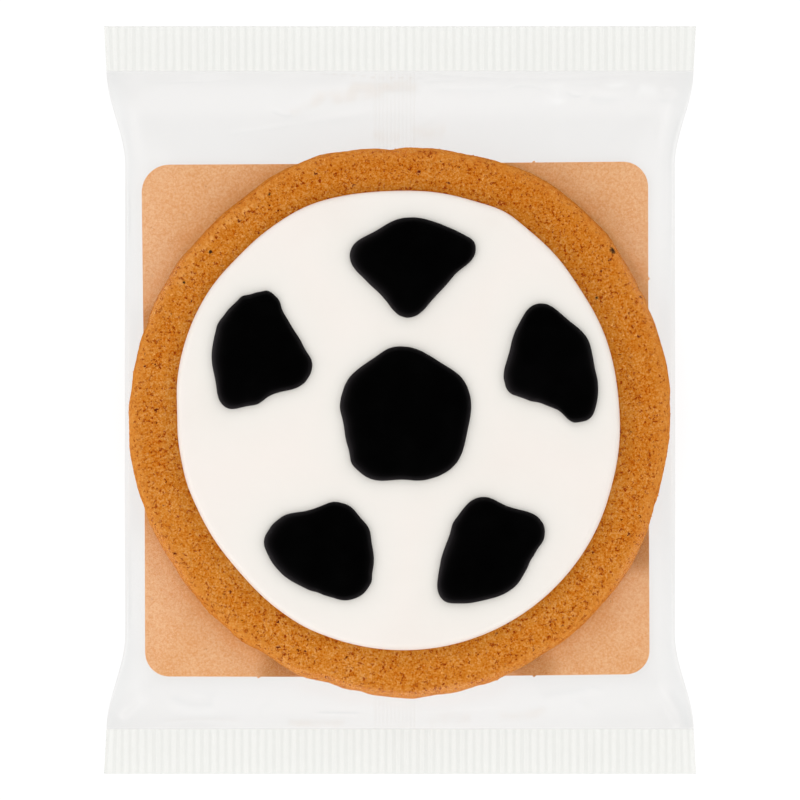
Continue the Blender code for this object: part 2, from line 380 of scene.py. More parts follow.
class Wiring:
    """Adds and joins the nodes of one node tree in few words."""

    def __init__(self, tree: bpy.types.NodeTree) -> None:
        """Starts on a tree.

        Args:
            tree: A shader or geometry node tree.
        """
        self.tree = tree

    @classmethod
    def on_geometry(cls, name: str, **kinds: Iterable[str]) -> "Wiring":
        """Starts a geometry tree that also takes the piece's geometry and its material.

        Args:
            name: The tree's name.
            **kinds: Names of its other inputs, under Float, Int or Bool.

        Returns:
            The wiring of the new tree.
        """
        tree = bpy.data.node_groups.new(name, "GeometryNodeTree")
        tree.is_modifier = True
        wiring = cls(tree)
        wiring.socket("Geometry", "Geometry")
        for kind, names in kinds.items():
            for socket in names:
                wiring.socket(socket, kind)
        wiring.socket("Material", "Material")
        wiring.socket("Geometry", "Geometry", output=True)
        return wiring

    def socket(self, name: str, kind: str, value: Any = None, output: bool = False) -> None:
        """Adds a named input or output to the group.

        Args:
            name: The socket's name.
            kind: Float, Int, Bool, Vector, Geometry or Material.
            value: Its value where nothing is linked to it.
            output: Whether it is an output.
        """
        made = self.tree.interface.new_socket(
            name=name, in_out="OUTPUT" if output else "INPUT", socket_type=f"NodeSocket{kind}"
        )
        if value is not None:
            made.default_value = value

    def feed(self, socket: bpy.types.NodeSocket, value: Any) -> None:
        """Links a socket to another, or sets its value.

        Args:
            socket: The input.
            value: The other socket, or the value.
        """
        if isinstance(value, bpy.types.NodeSocket):
            self.tree.links.new(value, socket)
        else:
            socket.default_value = value

    def fill(self, node: bpy.types.Node, inputs: dict) -> None:
        """Feeds several inputs of a node, by name or number."""
        for key, value in inputs.items():
            self.feed(node.inputs[key], value)

    def node(self, kind: str, inputs: dict | None = None, **settings: Any) -> bpy.types.Node:
        """Adds a node.

        Args:
            kind: Its type name.
            inputs: Values or sockets for its inputs, by name or number.
            **settings: The node's own settings.

        Returns:
            The node.
        """
        node = self.tree.nodes.new(kind)
        for key, value in settings.items():
            setattr(node, key, value)
        self.fill(node, inputs or {})
        return node

    def output(self, kind: str, inputs: dict | None = None, **settings: Any) -> Any:
        """Adds a node as node does, and gives its first output."""
        return self.node(kind, inputs, **settings).outputs[0]

    def given(self) -> Any:
        """The sockets that bring in the tree's own inputs, by name."""
        return self.node("NodeGroupInput").outputs

    def give(self, result: Any) -> bpy.types.NodeTree:
        """Puts out the tree's one result, and gives the finished tree."""
        self.feed(self.node("NodeGroupOutput").inputs[0], result)
        return self.tree

    def math(self, operation: str, *values: Any) -> bpy.types.NodeSocket:
        """One arithmetic step on numbers."""
        return self.output("ShaderNodeMath", dict(enumerate(values)), operation=operation)

    def times(self, first: Any, second: Any) -> bpy.types.NodeSocket:
        """The product of two numbers."""
        return self.math("MULTIPLY", first, second)

    def vector(self, operation: str, *values: Any) -> bpy.types.NodeSocket:
        """One arithmetic step on vectors; the result is a vector."""
        return self.output("ShaderNodeVectorMath", dict(enumerate(values)), operation=operation)

    def scaled(self, vector: Any, factor: Any) -> bpy.types.NodeSocket:
        """A vector times a number."""
        inputs = {0: vector, "Scale": factor}
        return self.output("ShaderNodeVectorMath", inputs, operation="SCALE")

    def point(self, x: Any = 0.0, y: Any = 0.0, z: Any = 0.0) -> bpy.types.NodeSocket:
        """A vector made of three numbers."""
        return self.output("ShaderNodeCombineXYZ", {0: x, 1: y, 2: z})

    def ramp(self, value: Any, start: Any, end: Any, low: Any = 0.0, high: Any = 1.0) -> Any:
        """A number that goes smoothly from low to high while value goes from start to end."""
        inputs = {0: value, 1: start, 2: end, 3: low, 4: high}
        return self.output("ShaderNodeMapRange", inputs, interpolation_type="SMOOTHSTEP")

    def blend(self, factor: Any, first: Any, second: Any, how: str = "MIX") -> Any:
        """Blends two colours.

        Args:
            factor: How much of the second colour shows.
            first: The colour below, or its socket.
            second: The colour above, or its socket.
            how: The kind of blend.

        Returns:
            The socket of the new colour.
        """
        inputs = {0: factor, 6: opaque(first), 7: opaque(second)}
        node = self.node("ShaderNodeMix", inputs, data_type="RGBA", blend_type=how)
        return node.outputs[2]

    def place(self) -> bpy.types.NodeSocket:
        """Where a point is on the object, in metres."""
        return self.node("ShaderNodeTexCoord").outputs["Object"]

    def measure(self, operation: str, other: Spot) -> bpy.types.NodeSocket:
        """One number from where a point is on the object and another vector."""
        node = self.node("ShaderNodeVectorMath", {0: self.place(), 1: other}, operation=operation)
        return node.outputs["Value"]

    def distance(self, spot: Spot) -> bpy.types.NodeSocket:
        """How far a point is from a spot on the object, which is given in millimetres."""
        return self.measure("DISTANCE", tuple(value * MM for value in spot))

    def jitter(self, place: Any, pitch: float, detail: float, reach: float) -> Any:
        """A small push whose direction and length wander over the surface.

        Args:
            place: Where a point is, in metres.
            pitch: How many times in a millimetre it changes.
            detail: How many finer layers are added.
            reach: About how long it is, in millimetres.

        Returns:
            The socket of the push, in metres.
        """
        inputs = {"Vector": place, "Scale": pitch / MM, "Detail": detail}
        colour = self.node("ShaderNodeTexNoise", inputs).outputs["Color"]
        return self.scaled(self.vector("SUBTRACT", colour, (0.5, 0.5, 0.5)), reach * MM)

    def cells(self, place: Any, scale: Any) -> tuple[Any, Any, Any]:
        """Uneven cells all over the surface.

        Args:
            place: Where a point is, in metres.
            scale: How many cells there are in a metre.

        Returns:
            How far a point is from the middle of its cell, as a share of a cell, and two chances
            that each cell has of its own.
        """
        cells = self.node("ShaderNodeTexVoronoi", {"Vector": place, "Scale": scale})
        family = "Shader" if self.tree.bl_idname == "ShaderNodeTree" else "Function"
        luck = self.node(f"{family}NodeSeparateColor", {0: cells.outputs["Color"]}).outputs
        return cells.outputs["Distance"], luck[0], luck[1]

    def attribute(self, name: str) -> bpy.types.NodeSocket:
        """The number that the piece's points carry under this name, in a material."""
        return self.node("ShaderNodeAttribute", attribute_name=name).outputs["Fac"]

    def group(self, tree: bpy.types.NodeTree, **values: Any) -> bpy.types.NodeSocket:
        """Places a shader group.

        Args:
            tree: The group.
            **values: Its inputs, named with _ for spaces.

        Returns:
            Its one output.
        """
        node = self.node("ShaderNodeGroup", node_tree=tree)
        self.fill(node, {key.replace("_", " "): value for key, value in values.items()})
        return node.outputs[0]

    def bump(self, shader: bpy.types.Node, height: Any, strength: float, depth: float) -> None:
        """Gives a shader fine relief.

        Args:
            shader: The Principled BSDF.
            height: The socket of the relief's height.
            strength: How much of it shows.
            depth: How deep it is, in millimetres.
        """
        inputs = {"Height": height, "Strength": strength, "Distance": depth * MM}
        self.feed(shader.inputs["Normal"], self.output("ShaderNodeBump", inputs))

    def stored(self, name: str) -> bpy.types.NodeSocket:
        """The number that the piece's points carry under this name, in a geometry tree."""
        return self.output("GeometryNodeInputNamedAttribute", {"Name": name}, data_type="FLOAT")

    def store(self, geometry: Any, name: str, value: Any) -> bpy.types.NodeSocket:
        """Stores one number for each point of a geometry.

        Args:
            geometry: The geometry's socket.
            name: The attribute's name.
            value: The socket of the number.

        Returns:
            The socket of the geometry with its new attribute.
        """
        inputs = {"Geometry": geometry, "Name": name, "Value": value}
        settings = {"data_type": "FLOAT", "domain": "POINT"}
        return self.output("GeometryNodeStoreNamedAttribute", inputs, **settings)

    def finish(self, geometry: Any, material: Any) -> bpy.types.NodeTree:
        """Ends a geometry tree.

        Args:
            geometry: The socket of what it has made.
            material: The socket of the finish that this takes.

        Returns:
            The finished tree.
        """
        real = self.output("GeometryNodeRealizeInstances", {0: geometry})
        inputs = {"Geometry": real, "Material": material}
        return self.give(self.output("GeometryNodeSetMaterial", inputs))


def opaque(colour: Any) -> Any:
    """A colour with its alpha, or the socket that was given."""
    return (*colour, 1.0) if isinstance(colour, tuple) and len(colour) == 3 else colour


@dataclass(frozen=True)
class Specks:
    """Specks of one colour: the spacing of their places, the share that is taken, their size."""

    tint: Colour
    spacing: float
    share: float
    size: float


class Effects:
    """Surface effects that several finishes share, each a shader group built once."""

    def __init__(self) -> None:
        """Builds the groups."""
        self.grain = self._noise_group("fine grain", detail=4.0, rough=0.62)
        self.mottle = self._noise_group("soft mottle", detail=2.0, rough=0.5)
        self.specks = self._specks_group()

    @staticmethod
    def _noise_group(name: str, detail: float, rough: float) -> bpy.types.NodeTree:
        """A group that gives smooth noise of a stated size.

        Args:
            name: The group's name.
            detail: How many finer layers are added.
            rough: How strong each finer layer is.

        Returns:
            The group: size in millimetres in, a value from about -1 to 1 out.
        """
        tree = bpy.data.node_groups.new(name, "ShaderNodeTree")
        wiring = Wiring(tree)
        wiring.socket("Size mm", "Float", 1.0)
        wiring.socket("Stretch", "Vector", (1.0, 1.0, 1.0))
        wiring.socket("Value", "Float", output=True)
        given = wiring.given()
        place = wiring.vector("MULTIPLY", wiring.place(), given["Stretch"])
        scale = wiring.math("DIVIDE", 1 / MM, given["Size mm"])
        inputs = {"Vector": place, "Scale": scale, "Detail": detail, "Roughness": rough}
        noise = wiring.output("ShaderNodeTexNoise", inputs)
        return wiring.give(wiring.times(wiring.math("SUBTRACT", noise, 0.5), 4.0))

    @staticmethod
    def _specks_group() -> bpy.types.NodeTree:
        """A group that scatters small round-edged specks of uneven size.

        Returns:
            The group: the spacing, the share of places that hold a speck and the speck's size
            in; a mask out.
        """
        tree = bpy.data.node_groups.new("scattered specks", "ShaderNodeTree")
        wiring = Wiring(tree)
        wiring.socket("Spacing mm", "Float", 1.0)
        wiring.socket("Share", "Float", 0.3)
        wiring.socket("Size mm", "Float", 0.4)
        wiring.socket("Mask", "Float", output=True)
        given = wiring.given()
        place = wiring.place()
        ragged = wiring.vector("ADD", place, wiring.jitter(place, 2.2, 2.0, 1.5))
        scale = wiring.math("DIVIDE", 1 / MM, given["Spacing mm"])
        away, chance, size_chance = wiring.cells(ragged, scale)
        reach = wiring.math("DIVIDE", given["Size mm"], given["Spacing mm"])
        radius = wiring.times(reach, wiring.math("MULTIPLY_ADD", size_chance, 0.35, 0.2))
        inside = wiring.ramp(away, radius, wiring.times(radius, 0.4))
        kept = wiring.math("LESS_THAN", chance, given["Share"])
        return wiring.give(wiring.times(inside, kept))

    def scatter(
        self, wiring: Wiring, specks: Specks, colour: Any, strength: Any
    ) -> tuple[Any, Any]:
        """Scatters specks of one kind over a colour.

        Args:
            wiring: The wiring of the material.
            specks: The specks.
            colour: The socket of the colour below.
            strength: How much of their own colour shows.

        Returns:
            The socket of the new colour, and the specks' mask.
        """
        sizes = {"Spacing_mm": specks.spacing, "Share": specks.share, "Size_mm": specks.size}
        mask = wiring.times(wiring.group(self.specks, **sizes), strength)
        return wiring.blend(mask, colour, specks.tint), mask


# ------------------------------------------------------------------------------ finishes


def new_material(name: str) -> tuple[bpy.types.Material, Wiring, bpy.types.Node]:
    """An empty node material.

    Args:
        name: Its name.

    Returns:
        The material, the wiring of its tree and its Principled BSDF.
    """
    material = bpy.data.materials.new(name)
    material.use_nodes = True
    wiring = Wiring(material.node_tree)
    return material, wiring, material.node_tree.nodes["Principled BSDF"]


@dataclass(frozen=True)
class GingerbreadFinish:
    """Baked gingerbread: warm, matt and sandy, with dark umber spots, dark pores and pale grains.
    """

    base: Colour = (0.586, 0.205, 0.019)
    deep: Colour = (0.464, 0.098, 0.0006)
    pale: Colour = (0.658, 0.306, 0.084)
    spots: Specks = Specks((0.250, 0.024, 0.0002), spacing=0.95, share=0.5, size=0.78)
    pores: Specks = Specks((0.120, 0.005, 0.0001), spacing=2.1, share=0.35, size=0.85)
    flecks: Specks = Specks((0.600, 0.320, 0.140), spacing=2.1, share=0.2, size=1.0)
    crumbs: Specks = Specks((0.780, 0.390, 0.110), spacing=1.3, share=0.22, size=0.7)
    crest: Colour = (0.720, 0.330, 0.085)
    edge: Colour = (0.690, 0.272, 0.052)
    icing_shade: Colour = (0.905, 0.920, 0.930)
    upper_right_dimming: Colour = (0.945, 0.895, 0.810)
    shaded: Colour = (0.80, 0.81, 0.77)
    burnt: Colour = (0.040, 0.018, 0.008)
    burnt_spots: tuple[Spot, ...] = (
        (47.3, 33.2, 1.15), (43.5, 22.6, 0.55), (-42.0, 32.8, 0.55), (-28.9, 45.5, 0.45),
        (-47.8, 26.0, 0.4),
    )
    burnt_height: float = 7.3
    roughness: float = 0.85
    grain_size: float = 0.42
    clump_size: float = 1.5
    mottle_size: float = 7.0
    streak_size: float = 0.9
    crumb_size: float = 1.1
    vein_size: float = 0.68
    mark_size: float = 1.05
    gather_size: float = 3.6
    relief: float = 0.18

    def build(self, effects: Effects) -> bpy.types.Material:
        """Builds the material.

        Args:
            effects: The shared surface effects.

        Returns:
            The finished material.
        """
        material, wiring, shader = new_material("gingerbread crust")
        side = wiring.attribute("side")
        grain = wiring.group(effects.grain, Size_mm=self.grain_size)
        clumps = wiring.group(effects.grain, Size_mm=self.clump_size)
        mottle = wiring.group(effects.mottle, Size_mm=self.mottle_size)
        fine = wiring.math("MULTIPLY_ADD", clumps, 0.22, wiring.times(grain, 1.05))
        calm = wiring.math("MULTIPLY_ADD", side, -0.2, 1.0)
        tone = wiring.times(wiring.math("MULTIPLY_ADD", mottle, 0.15, fine), calm)
        streaks = wiring.group(effects.grain, Size_mm=self.streak_size, Stretch=(1.0, 1.0, 0.22))
        steep = wiring.times(streaks, wiring.attribute("wall"))
        tone = wiring.math("MULTIPLY_ADD", steep, 0.75, tone)
        colour = wiring.blend(wiring.ramp(tone, 0.0, 0.7), self.base, self.pale)
        colour = wiring.blend(wiring.ramp(tone, 0.0, -0.65), colour, self.deep)
        colour = wiring.blend(wiring.times(side, 0.55), colour, self.edge)
        # Painted shade: the crust is darkened beside the icing and along its outermost edge beside
        # the card; it is also darker towards the upper right.
        for name, tint in (("icing_shade", self.icing_shade), ("upper_right_dimming", self.upper_right_dimming), ("shaded", self.shaded)):
            colour = wiring.blend(wiring.attribute(name), colour, tint, "MULTIPLY")
        # Pale crumbs and a painted highlight on the rim's shoulder at the upper and lower left.
        crest = wiring.attribute("crest")
        crumbs = wiring.group(effects.grain, Size_mm=self.crumb_size, Stretch=(1.3, 1.3, 1.3))
        crumbly = wiring.ramp(wiring.math("MULTIPLY_ADD", crumbs, 1.2, crest), 0.4, 1.6)
        colour = wiring.blend(wiring.times(crumbly, crest), colour, self.crest)
        veins = wiring.group(effects.mottle, Size_mm=self.vein_size)
        veins = wiring.ramp(wiring.math("ABSOLUTE", veins), 0.48, 0.08)
        pattern = wiring.group(effects.grain, Size_mm=self.mark_size)
        gather = wiring.group(effects.mottle, Size_mm=self.gather_size)
        marks = wiring.ramp(wiring.math("MULTIPLY_ADD", gather, 0.3, pattern), 0.11, 0.61)
        marks = wiring.times(wiring.times(marks, veins), calm)
        colour = wiring.blend(marks, colour, self.spots.tint)
        colour, _ = effects.scatter(wiring, self.flecks, colour, 0.5)
        colour, _ = effects.scatter(wiring, self.crumbs, colour, 0.8)
        colour, spots = effects.scatter(wiring, self.spots, colour, calm)
        colour, pores = effects.scatter(wiring, self.pores, colour, calm)
        hollow = wiring.math("MAXIMUM", pores, wiring.attribute("pit"))
        colour = wiring.blend(hollow, colour, self.pores.tint)
        for x, y, reach in self.burnt_spots:
            away = wiring.distance((x, y, self.burnt_height))
            away = wiring.math("MULTIPLY_ADD", grain, 0.25 * MM, away)
            burnt = wiring.ramp(away, reach * MM, 0.35 * reach * MM)
            colour = wiring.blend(burnt, colour, self.burnt)
        holes = wiring.times(wiring.math("MAXIMUM", spots, marks), 0.4)
        sunk = wiring.math("MAXIMUM", hollow, holes)
        height = wiring.math("SUBTRACT", wiring.times(fine, 0.35), sunk)
        wiring.bump(shader, height, 0.6, self.relief)
        rough = wiring.math("MULTIPLY_ADD", tone, 0.05, self.roughness)
        wiring.fill(shader, {"Base Color": colour, "Roughness": rough, "Specular IOR Level": 0.0})
        return material


@dataclass(frozen=True)
class IcingFinish:
    """Set sugar icing, smooth and slightly satin."""

    name: str
    base: Colour
    shade: Colour
    roughness: float
    specular: float
    ripple: float
    shade_and_sheen: Colour
    cool: Colour = (0.958, 1.0, 1.0)

    def build(self, effects: Effects) -> bpy.types.Material:
        """Builds the material.

        Args:
            effects: The shared surface effects.

        Returns:
            The finished material.
        """
        material, wiring, shader = new_material(self.name)
        clouds = wiring.group(effects.mottle, Size_mm=16.0)
        sugar = wiring.group(effects.grain, Size_mm=0.5)
        tone = wiring.math("MULTIPLY_ADD", sugar, 0.15, clouds)
        colour = wiring.blend(wiring.ramp(tone, -0.3, 1.3, 0.0, 0.6), self.base, self.shade)
        colour, _ = effects.scatter(wiring, Specks(self.shade, 4.5, 0.12, 0.5), colour, 0.3)
        colour = wiring.blend(wiring.attribute("cool"), colour, self.cool, "MULTIPLY")
        # Painted shade on the white icing round the patches, and painted sheen along the black
        # patches' rims.
        colour = wiring.blend(wiring.attribute("shade_and_sheen"), colour, self.shade_and_sheen)
        rough = wiring.math("MULTIPLY_ADD", clouds, 0.05, self.roughness)
        wiring.bump(shader, wiring.group(effects.mottle, Size_mm=3.5), 0.3, self.ripple)
        dressing = {"Base Color": colour, "Roughness": rough, "Specular IOR Level": self.specular}
        wiring.fill(shader, dressing)
        return material


WHITE_ICING = IcingFinish(
    name="white icing",
    base=(0.832, 0.780, 0.742),
    shade=(0.806, 0.748, 0.706),
    roughness=0.48,
    specular=0.3,
    ripple=0.05,
    shade_and_sheen=(0.528, 0.508, 0.474),
)
BLACK_ICING = IcingFinish(
    name="black icing",
    base=(0.0, 0.0, 0.0),
    shade=(0.0002, 0.0001, 0.0002),
    roughness=0.3,
    specular=0.012,
    ripple=0.03,
    shade_and_sheen=(0.024, 0.021, 0.023),
)


@dataclass(frozen=True)
class KraftFinish:
    """Unbleached card: matt tan pulp with fine fibres and dark flecks.

    Round the biscuit's edge it carries painted shade with painted warm bounce light from the
    biscuit, and a narrower band of painted shade right beside the edge, both stronger towards the
    upper right.
    """

    base: Colour = (0.712, 0.370, 0.172)
    pale: Colour = (0.748, 0.430, 0.230)
    dark: Colour = (0.672, 0.308, 0.118)
    fibre: Colour = (0.785, 0.450, 0.248)
    flecks: Specks = Specks((0.400, 0.165, 0.065), spacing=2.3, share=0.3, size=0.75)
    warm_bounce_shade: Colour = (1.0, 0.88, 0.64)
    warm_bounce_shade_middle: Spot = (0.5, -3.9, 0.9)
    warm_bounce_shade_band: Point = (67.5, 59.5)
    contact_shade: Colour = (0.86, 0.885, 0.86)
    contact_shade_band: Point = (62.8, 60.8)
    aside_band: Point = (20.0, 70.0)
    wedge_darkening: Colour = (0.685, 0.584, 0.390)
    wedge_dark_spots: tuple[tuple[float, float, float, float], ...] = (
        (53.6, -33.0, 7.2, 1.0), (-26.2, -60.0, 7.0, 1.0), (29.6, -59.6, 7.2, 0.8),
        (-55.5, 18.0, 4.5, 0.5),
    )
    roughness: float = 0.9
    pulp_size: float = 0.5
    cloud_size: float = 5.5
    relief: float = 0.05

    def build(self, effects: Effects) -> bpy.types.Material:
        """Builds the material.

        Args:
            effects: The shared surface effects.

        Returns:
            The finished material.
        """
        material, wiring, shader = new_material("kraft card")
        pulp = wiring.group(effects.grain, Size_mm=self.pulp_size)
        clouds = wiring.group(effects.mottle, Size_mm=self.cloud_size)
        along = wiring.group(effects.grain, Size_mm=1.1, Stretch=(1.0, 3.4, 1.0))
        across = wiring.group(effects.grain, Size_mm=1.0, Stretch=(3.2, 0.9, 1.0))
        fibre = wiring.math("MAXIMUM", along, across)
        tone = wiring.math("MULTIPLY_ADD", clouds, 0.2, pulp)
        colour = wiring.blend(wiring.ramp(tone, 0.0, 0.6), self.base, self.dark)
        colour = wiring.blend(wiring.ramp(tone, 0.0, -0.6), colour, self.pale)
        colour = wiring.blend(wiring.ramp(fibre, 0.35, 1.0, 0.0, 0.6), colour, self.fibre)
        colour, _ = effects.scatter(wiring, self.flecks, colour, 0.55)
        away = wiring.distance(self.warm_bounce_shade_middle)
        aside = wiring.measure("DOT_PRODUCT", (1.0, 1.0, 0.0))

        def inside(band: Point) -> Any:
            """The mask of a round that is full within the band and empty beyond it."""
            return wiring.ramp(away, band[0] * MM, band[1] * MM)

        def weight(least: float) -> Any:
            """A weight that grows from least to 1 towards the card's upper right corner."""
            start, end = self.aside_band
            return wiring.ramp(aside, start * MM, end * MM, least, 1.0)

        # Painted shade with painted warm bounce light from the biscuit, round its edge and stronger
        # towards the upper right.
        bounce_shade_mask = inside(self.warm_bounce_shade_band)
        bounce_shade_mask = wiring.times(wiring.times(bounce_shade_mask, bounce_shade_mask), weight(0.75))
        colour = wiring.blend(bounce_shade_mask, colour, self.warm_bounce_shade, "MULTIPLY")
        # Painted shade in a narrow band right beside the biscuit's edge, stronger towards the upper
        # right.
        contact_shade_mask = wiring.times(inside(self.contact_shade_band), weight(0.4))
        colour = wiring.blend(contact_shade_mask, colour, self.contact_shade, "MULTIPLY")
        # Darker patches on the card round spots at the biscuit's edge.
        for x, y, reach, strength in self.wedge_dark_spots:
            spot = wiring.math("MULTIPLY_ADD", clouds, 0.6 * MM, wiring.distance((x, y, 1.0)))
            share = wiring.ramp(spot, reach * MM, 0.25 * reach * MM, 0.0, strength)
            colour = wiring.blend(share, colour, self.wedge_darkening, "MULTIPLY")
        height = wiring.math("ADD", pulp, wiring.times(fibre, 0.8))
        wiring.bump(shader, height, 0.35, self.relief)
        rough = wiring.math("MULTIPLY_ADD", pulp, 0.04, self.roughness)
        wiring.fill(shader, {"Base Color": colour, "Roughness": rough, "Specular IOR Level": 0.15})
        return material


@dataclass(frozen=True)
class FilmFinish:
    """Clear packing film, seen as one bare layer: it dims a little and shines at a slant."""

    name: str
    tint: Colour
    fold_shade: Colour
    warm: Colour
    haze: float
    gloss: float
    white: float
    metallic: float
    roughness: float
    bright: Colour = (0.995, 0.995, 0.995)

    def build(self, effects: Effects) -> bpy.types.Material:
        """Builds the material.

        Args:
            effects: The shared surface effects.

        Returns:
            The finished material.
        """
        material, wiring, shader = new_material(self.name)
        clear = wiring.node("ShaderNodeBsdfTransparent")
        drift = wiring.group(effects.mottle, Size_mm=22.0)
        # Painted shade where fold_shading is above 0, painted highlight where it is below 0.
        fold_shading = wiring.math("MULTIPLY_ADD", drift, 0.05, wiring.attribute("fold_shading"))
        tint = wiring.blend(wiring.ramp(fold_shading, 0.0, 1.0), self.tint, self.fold_shade)
        tint = wiring.blend(wiring.ramp(fold_shading, 0.0, -1.0), tint, self.bright)
        patchy = wiring.group(effects.mottle, Size_mm=3.0)
        warmth = wiring.math("MULTIPLY_ADD", patchy, 0.5, 1.0)
        warmth = wiring.times(warmth, wiring.attribute("glow"))
        tint = wiring.blend(wiring.ramp(warmth, 0.0, 1.0), tint, self.warm)
        wiring.feed(clear.inputs["Color"], tint)
        slant = wiring.node("ShaderNodeLayerWeight", {"Blend": 0.5}).outputs["Facing"]
        glance = wiring.math("MULTIPLY_ADD", wiring.math("POWER", slant, 5.0), 0.93, 0.07)
        share = wiring.math("MULTIPLY_ADD", glance, self.gloss, self.haze)
        scuff = wiring.group(effects.mottle, Size_mm=6.0)
        rough = wiring.math("MULTIPLY_ADD", scuff, 0.03, self.roughness)
        white = opaque((self.white,) * 3)
        wiring.fill(shader, {"Base Color": white, "Metallic": self.metallic, "Roughness": rough})
        layers = {0: share, 1: clear.outputs[0], 2: shader.outputs[0]}
        surface = wiring.output("ShaderNodeMixShader", layers)
        wiring.feed(material.node_tree.nodes["Material Output"].inputs["Surface"], surface)
        return material


CLEAR_FILM = FilmFinish(
    name="clear film",
    tint=(0.939, 0.935, 0.930),
    fold_shade=(0.866, 0.873, 0.872),
    warm=(0.914, 0.886, 0.858),
    haze=0.0,
    gloss=0.3,
    white=0.95,
    metallic=1.0,
    roughness=0.2,
)
CRIMPED_FILM = FilmFinish(
    name="crimped film",
    tint=(0.918, 0.918, 0.902),
    fold_shade=(0.888, 0.889, 0.872),
    warm=(0.918, 0.918, 0.902),
    haze=0.10,
    gloss=0.3,
    white=0.92,
    metallic=0.0,
    roughness=0.3,
)
SEAM_FILM = FilmFinish(
    name="seam film",
    tint=(1.0, 1.0, 0.999),
    fold_shade=(0.984, 0.980, 0.974),
    warm=(1.0, 1.0, 1.0),
    haze=0.0,
    gloss=0.0,
    white=0.95,
    metallic=1.0,
    roughness=0.2,
)


# ------------------------------------------------------------------------------ biscuit


CRUST_LENGTHS = tuple(
    f"{form} {measure}" for form in ("Swell", "Grain") for measure in ("Height", "Size")
) + ("Pit Depth", "Pit Spacing")
BISCUIT_SWELLS = (
    (8.0, 12.0, 0.35), (31.0, 7.0, -0.35), (45.0, 7.0, 0.25), (60.0, 9.0, 0.75), (91.0, 5.0, -0.3),
    (108.0, 6.5, 0.65), (117.0, 6.5, 0.35), (127.0, 6.0, -0.4), (135.0, 5.0, -0.2),
    (155.0, 4.0, 0.35), (213.0, 9.0, -0.5), (227.0, 7.0, -0.25), (240.0, 4.5, -0.85),
    (255.0, 3.5, -0.7), (272.0, 5.5, 0.6), (287.0, 7.0, 0.35), (300.0, 5.0, -0.4),
    (315.0, 11.0, -0.3), (343.0, 6.5, -0.55),
)


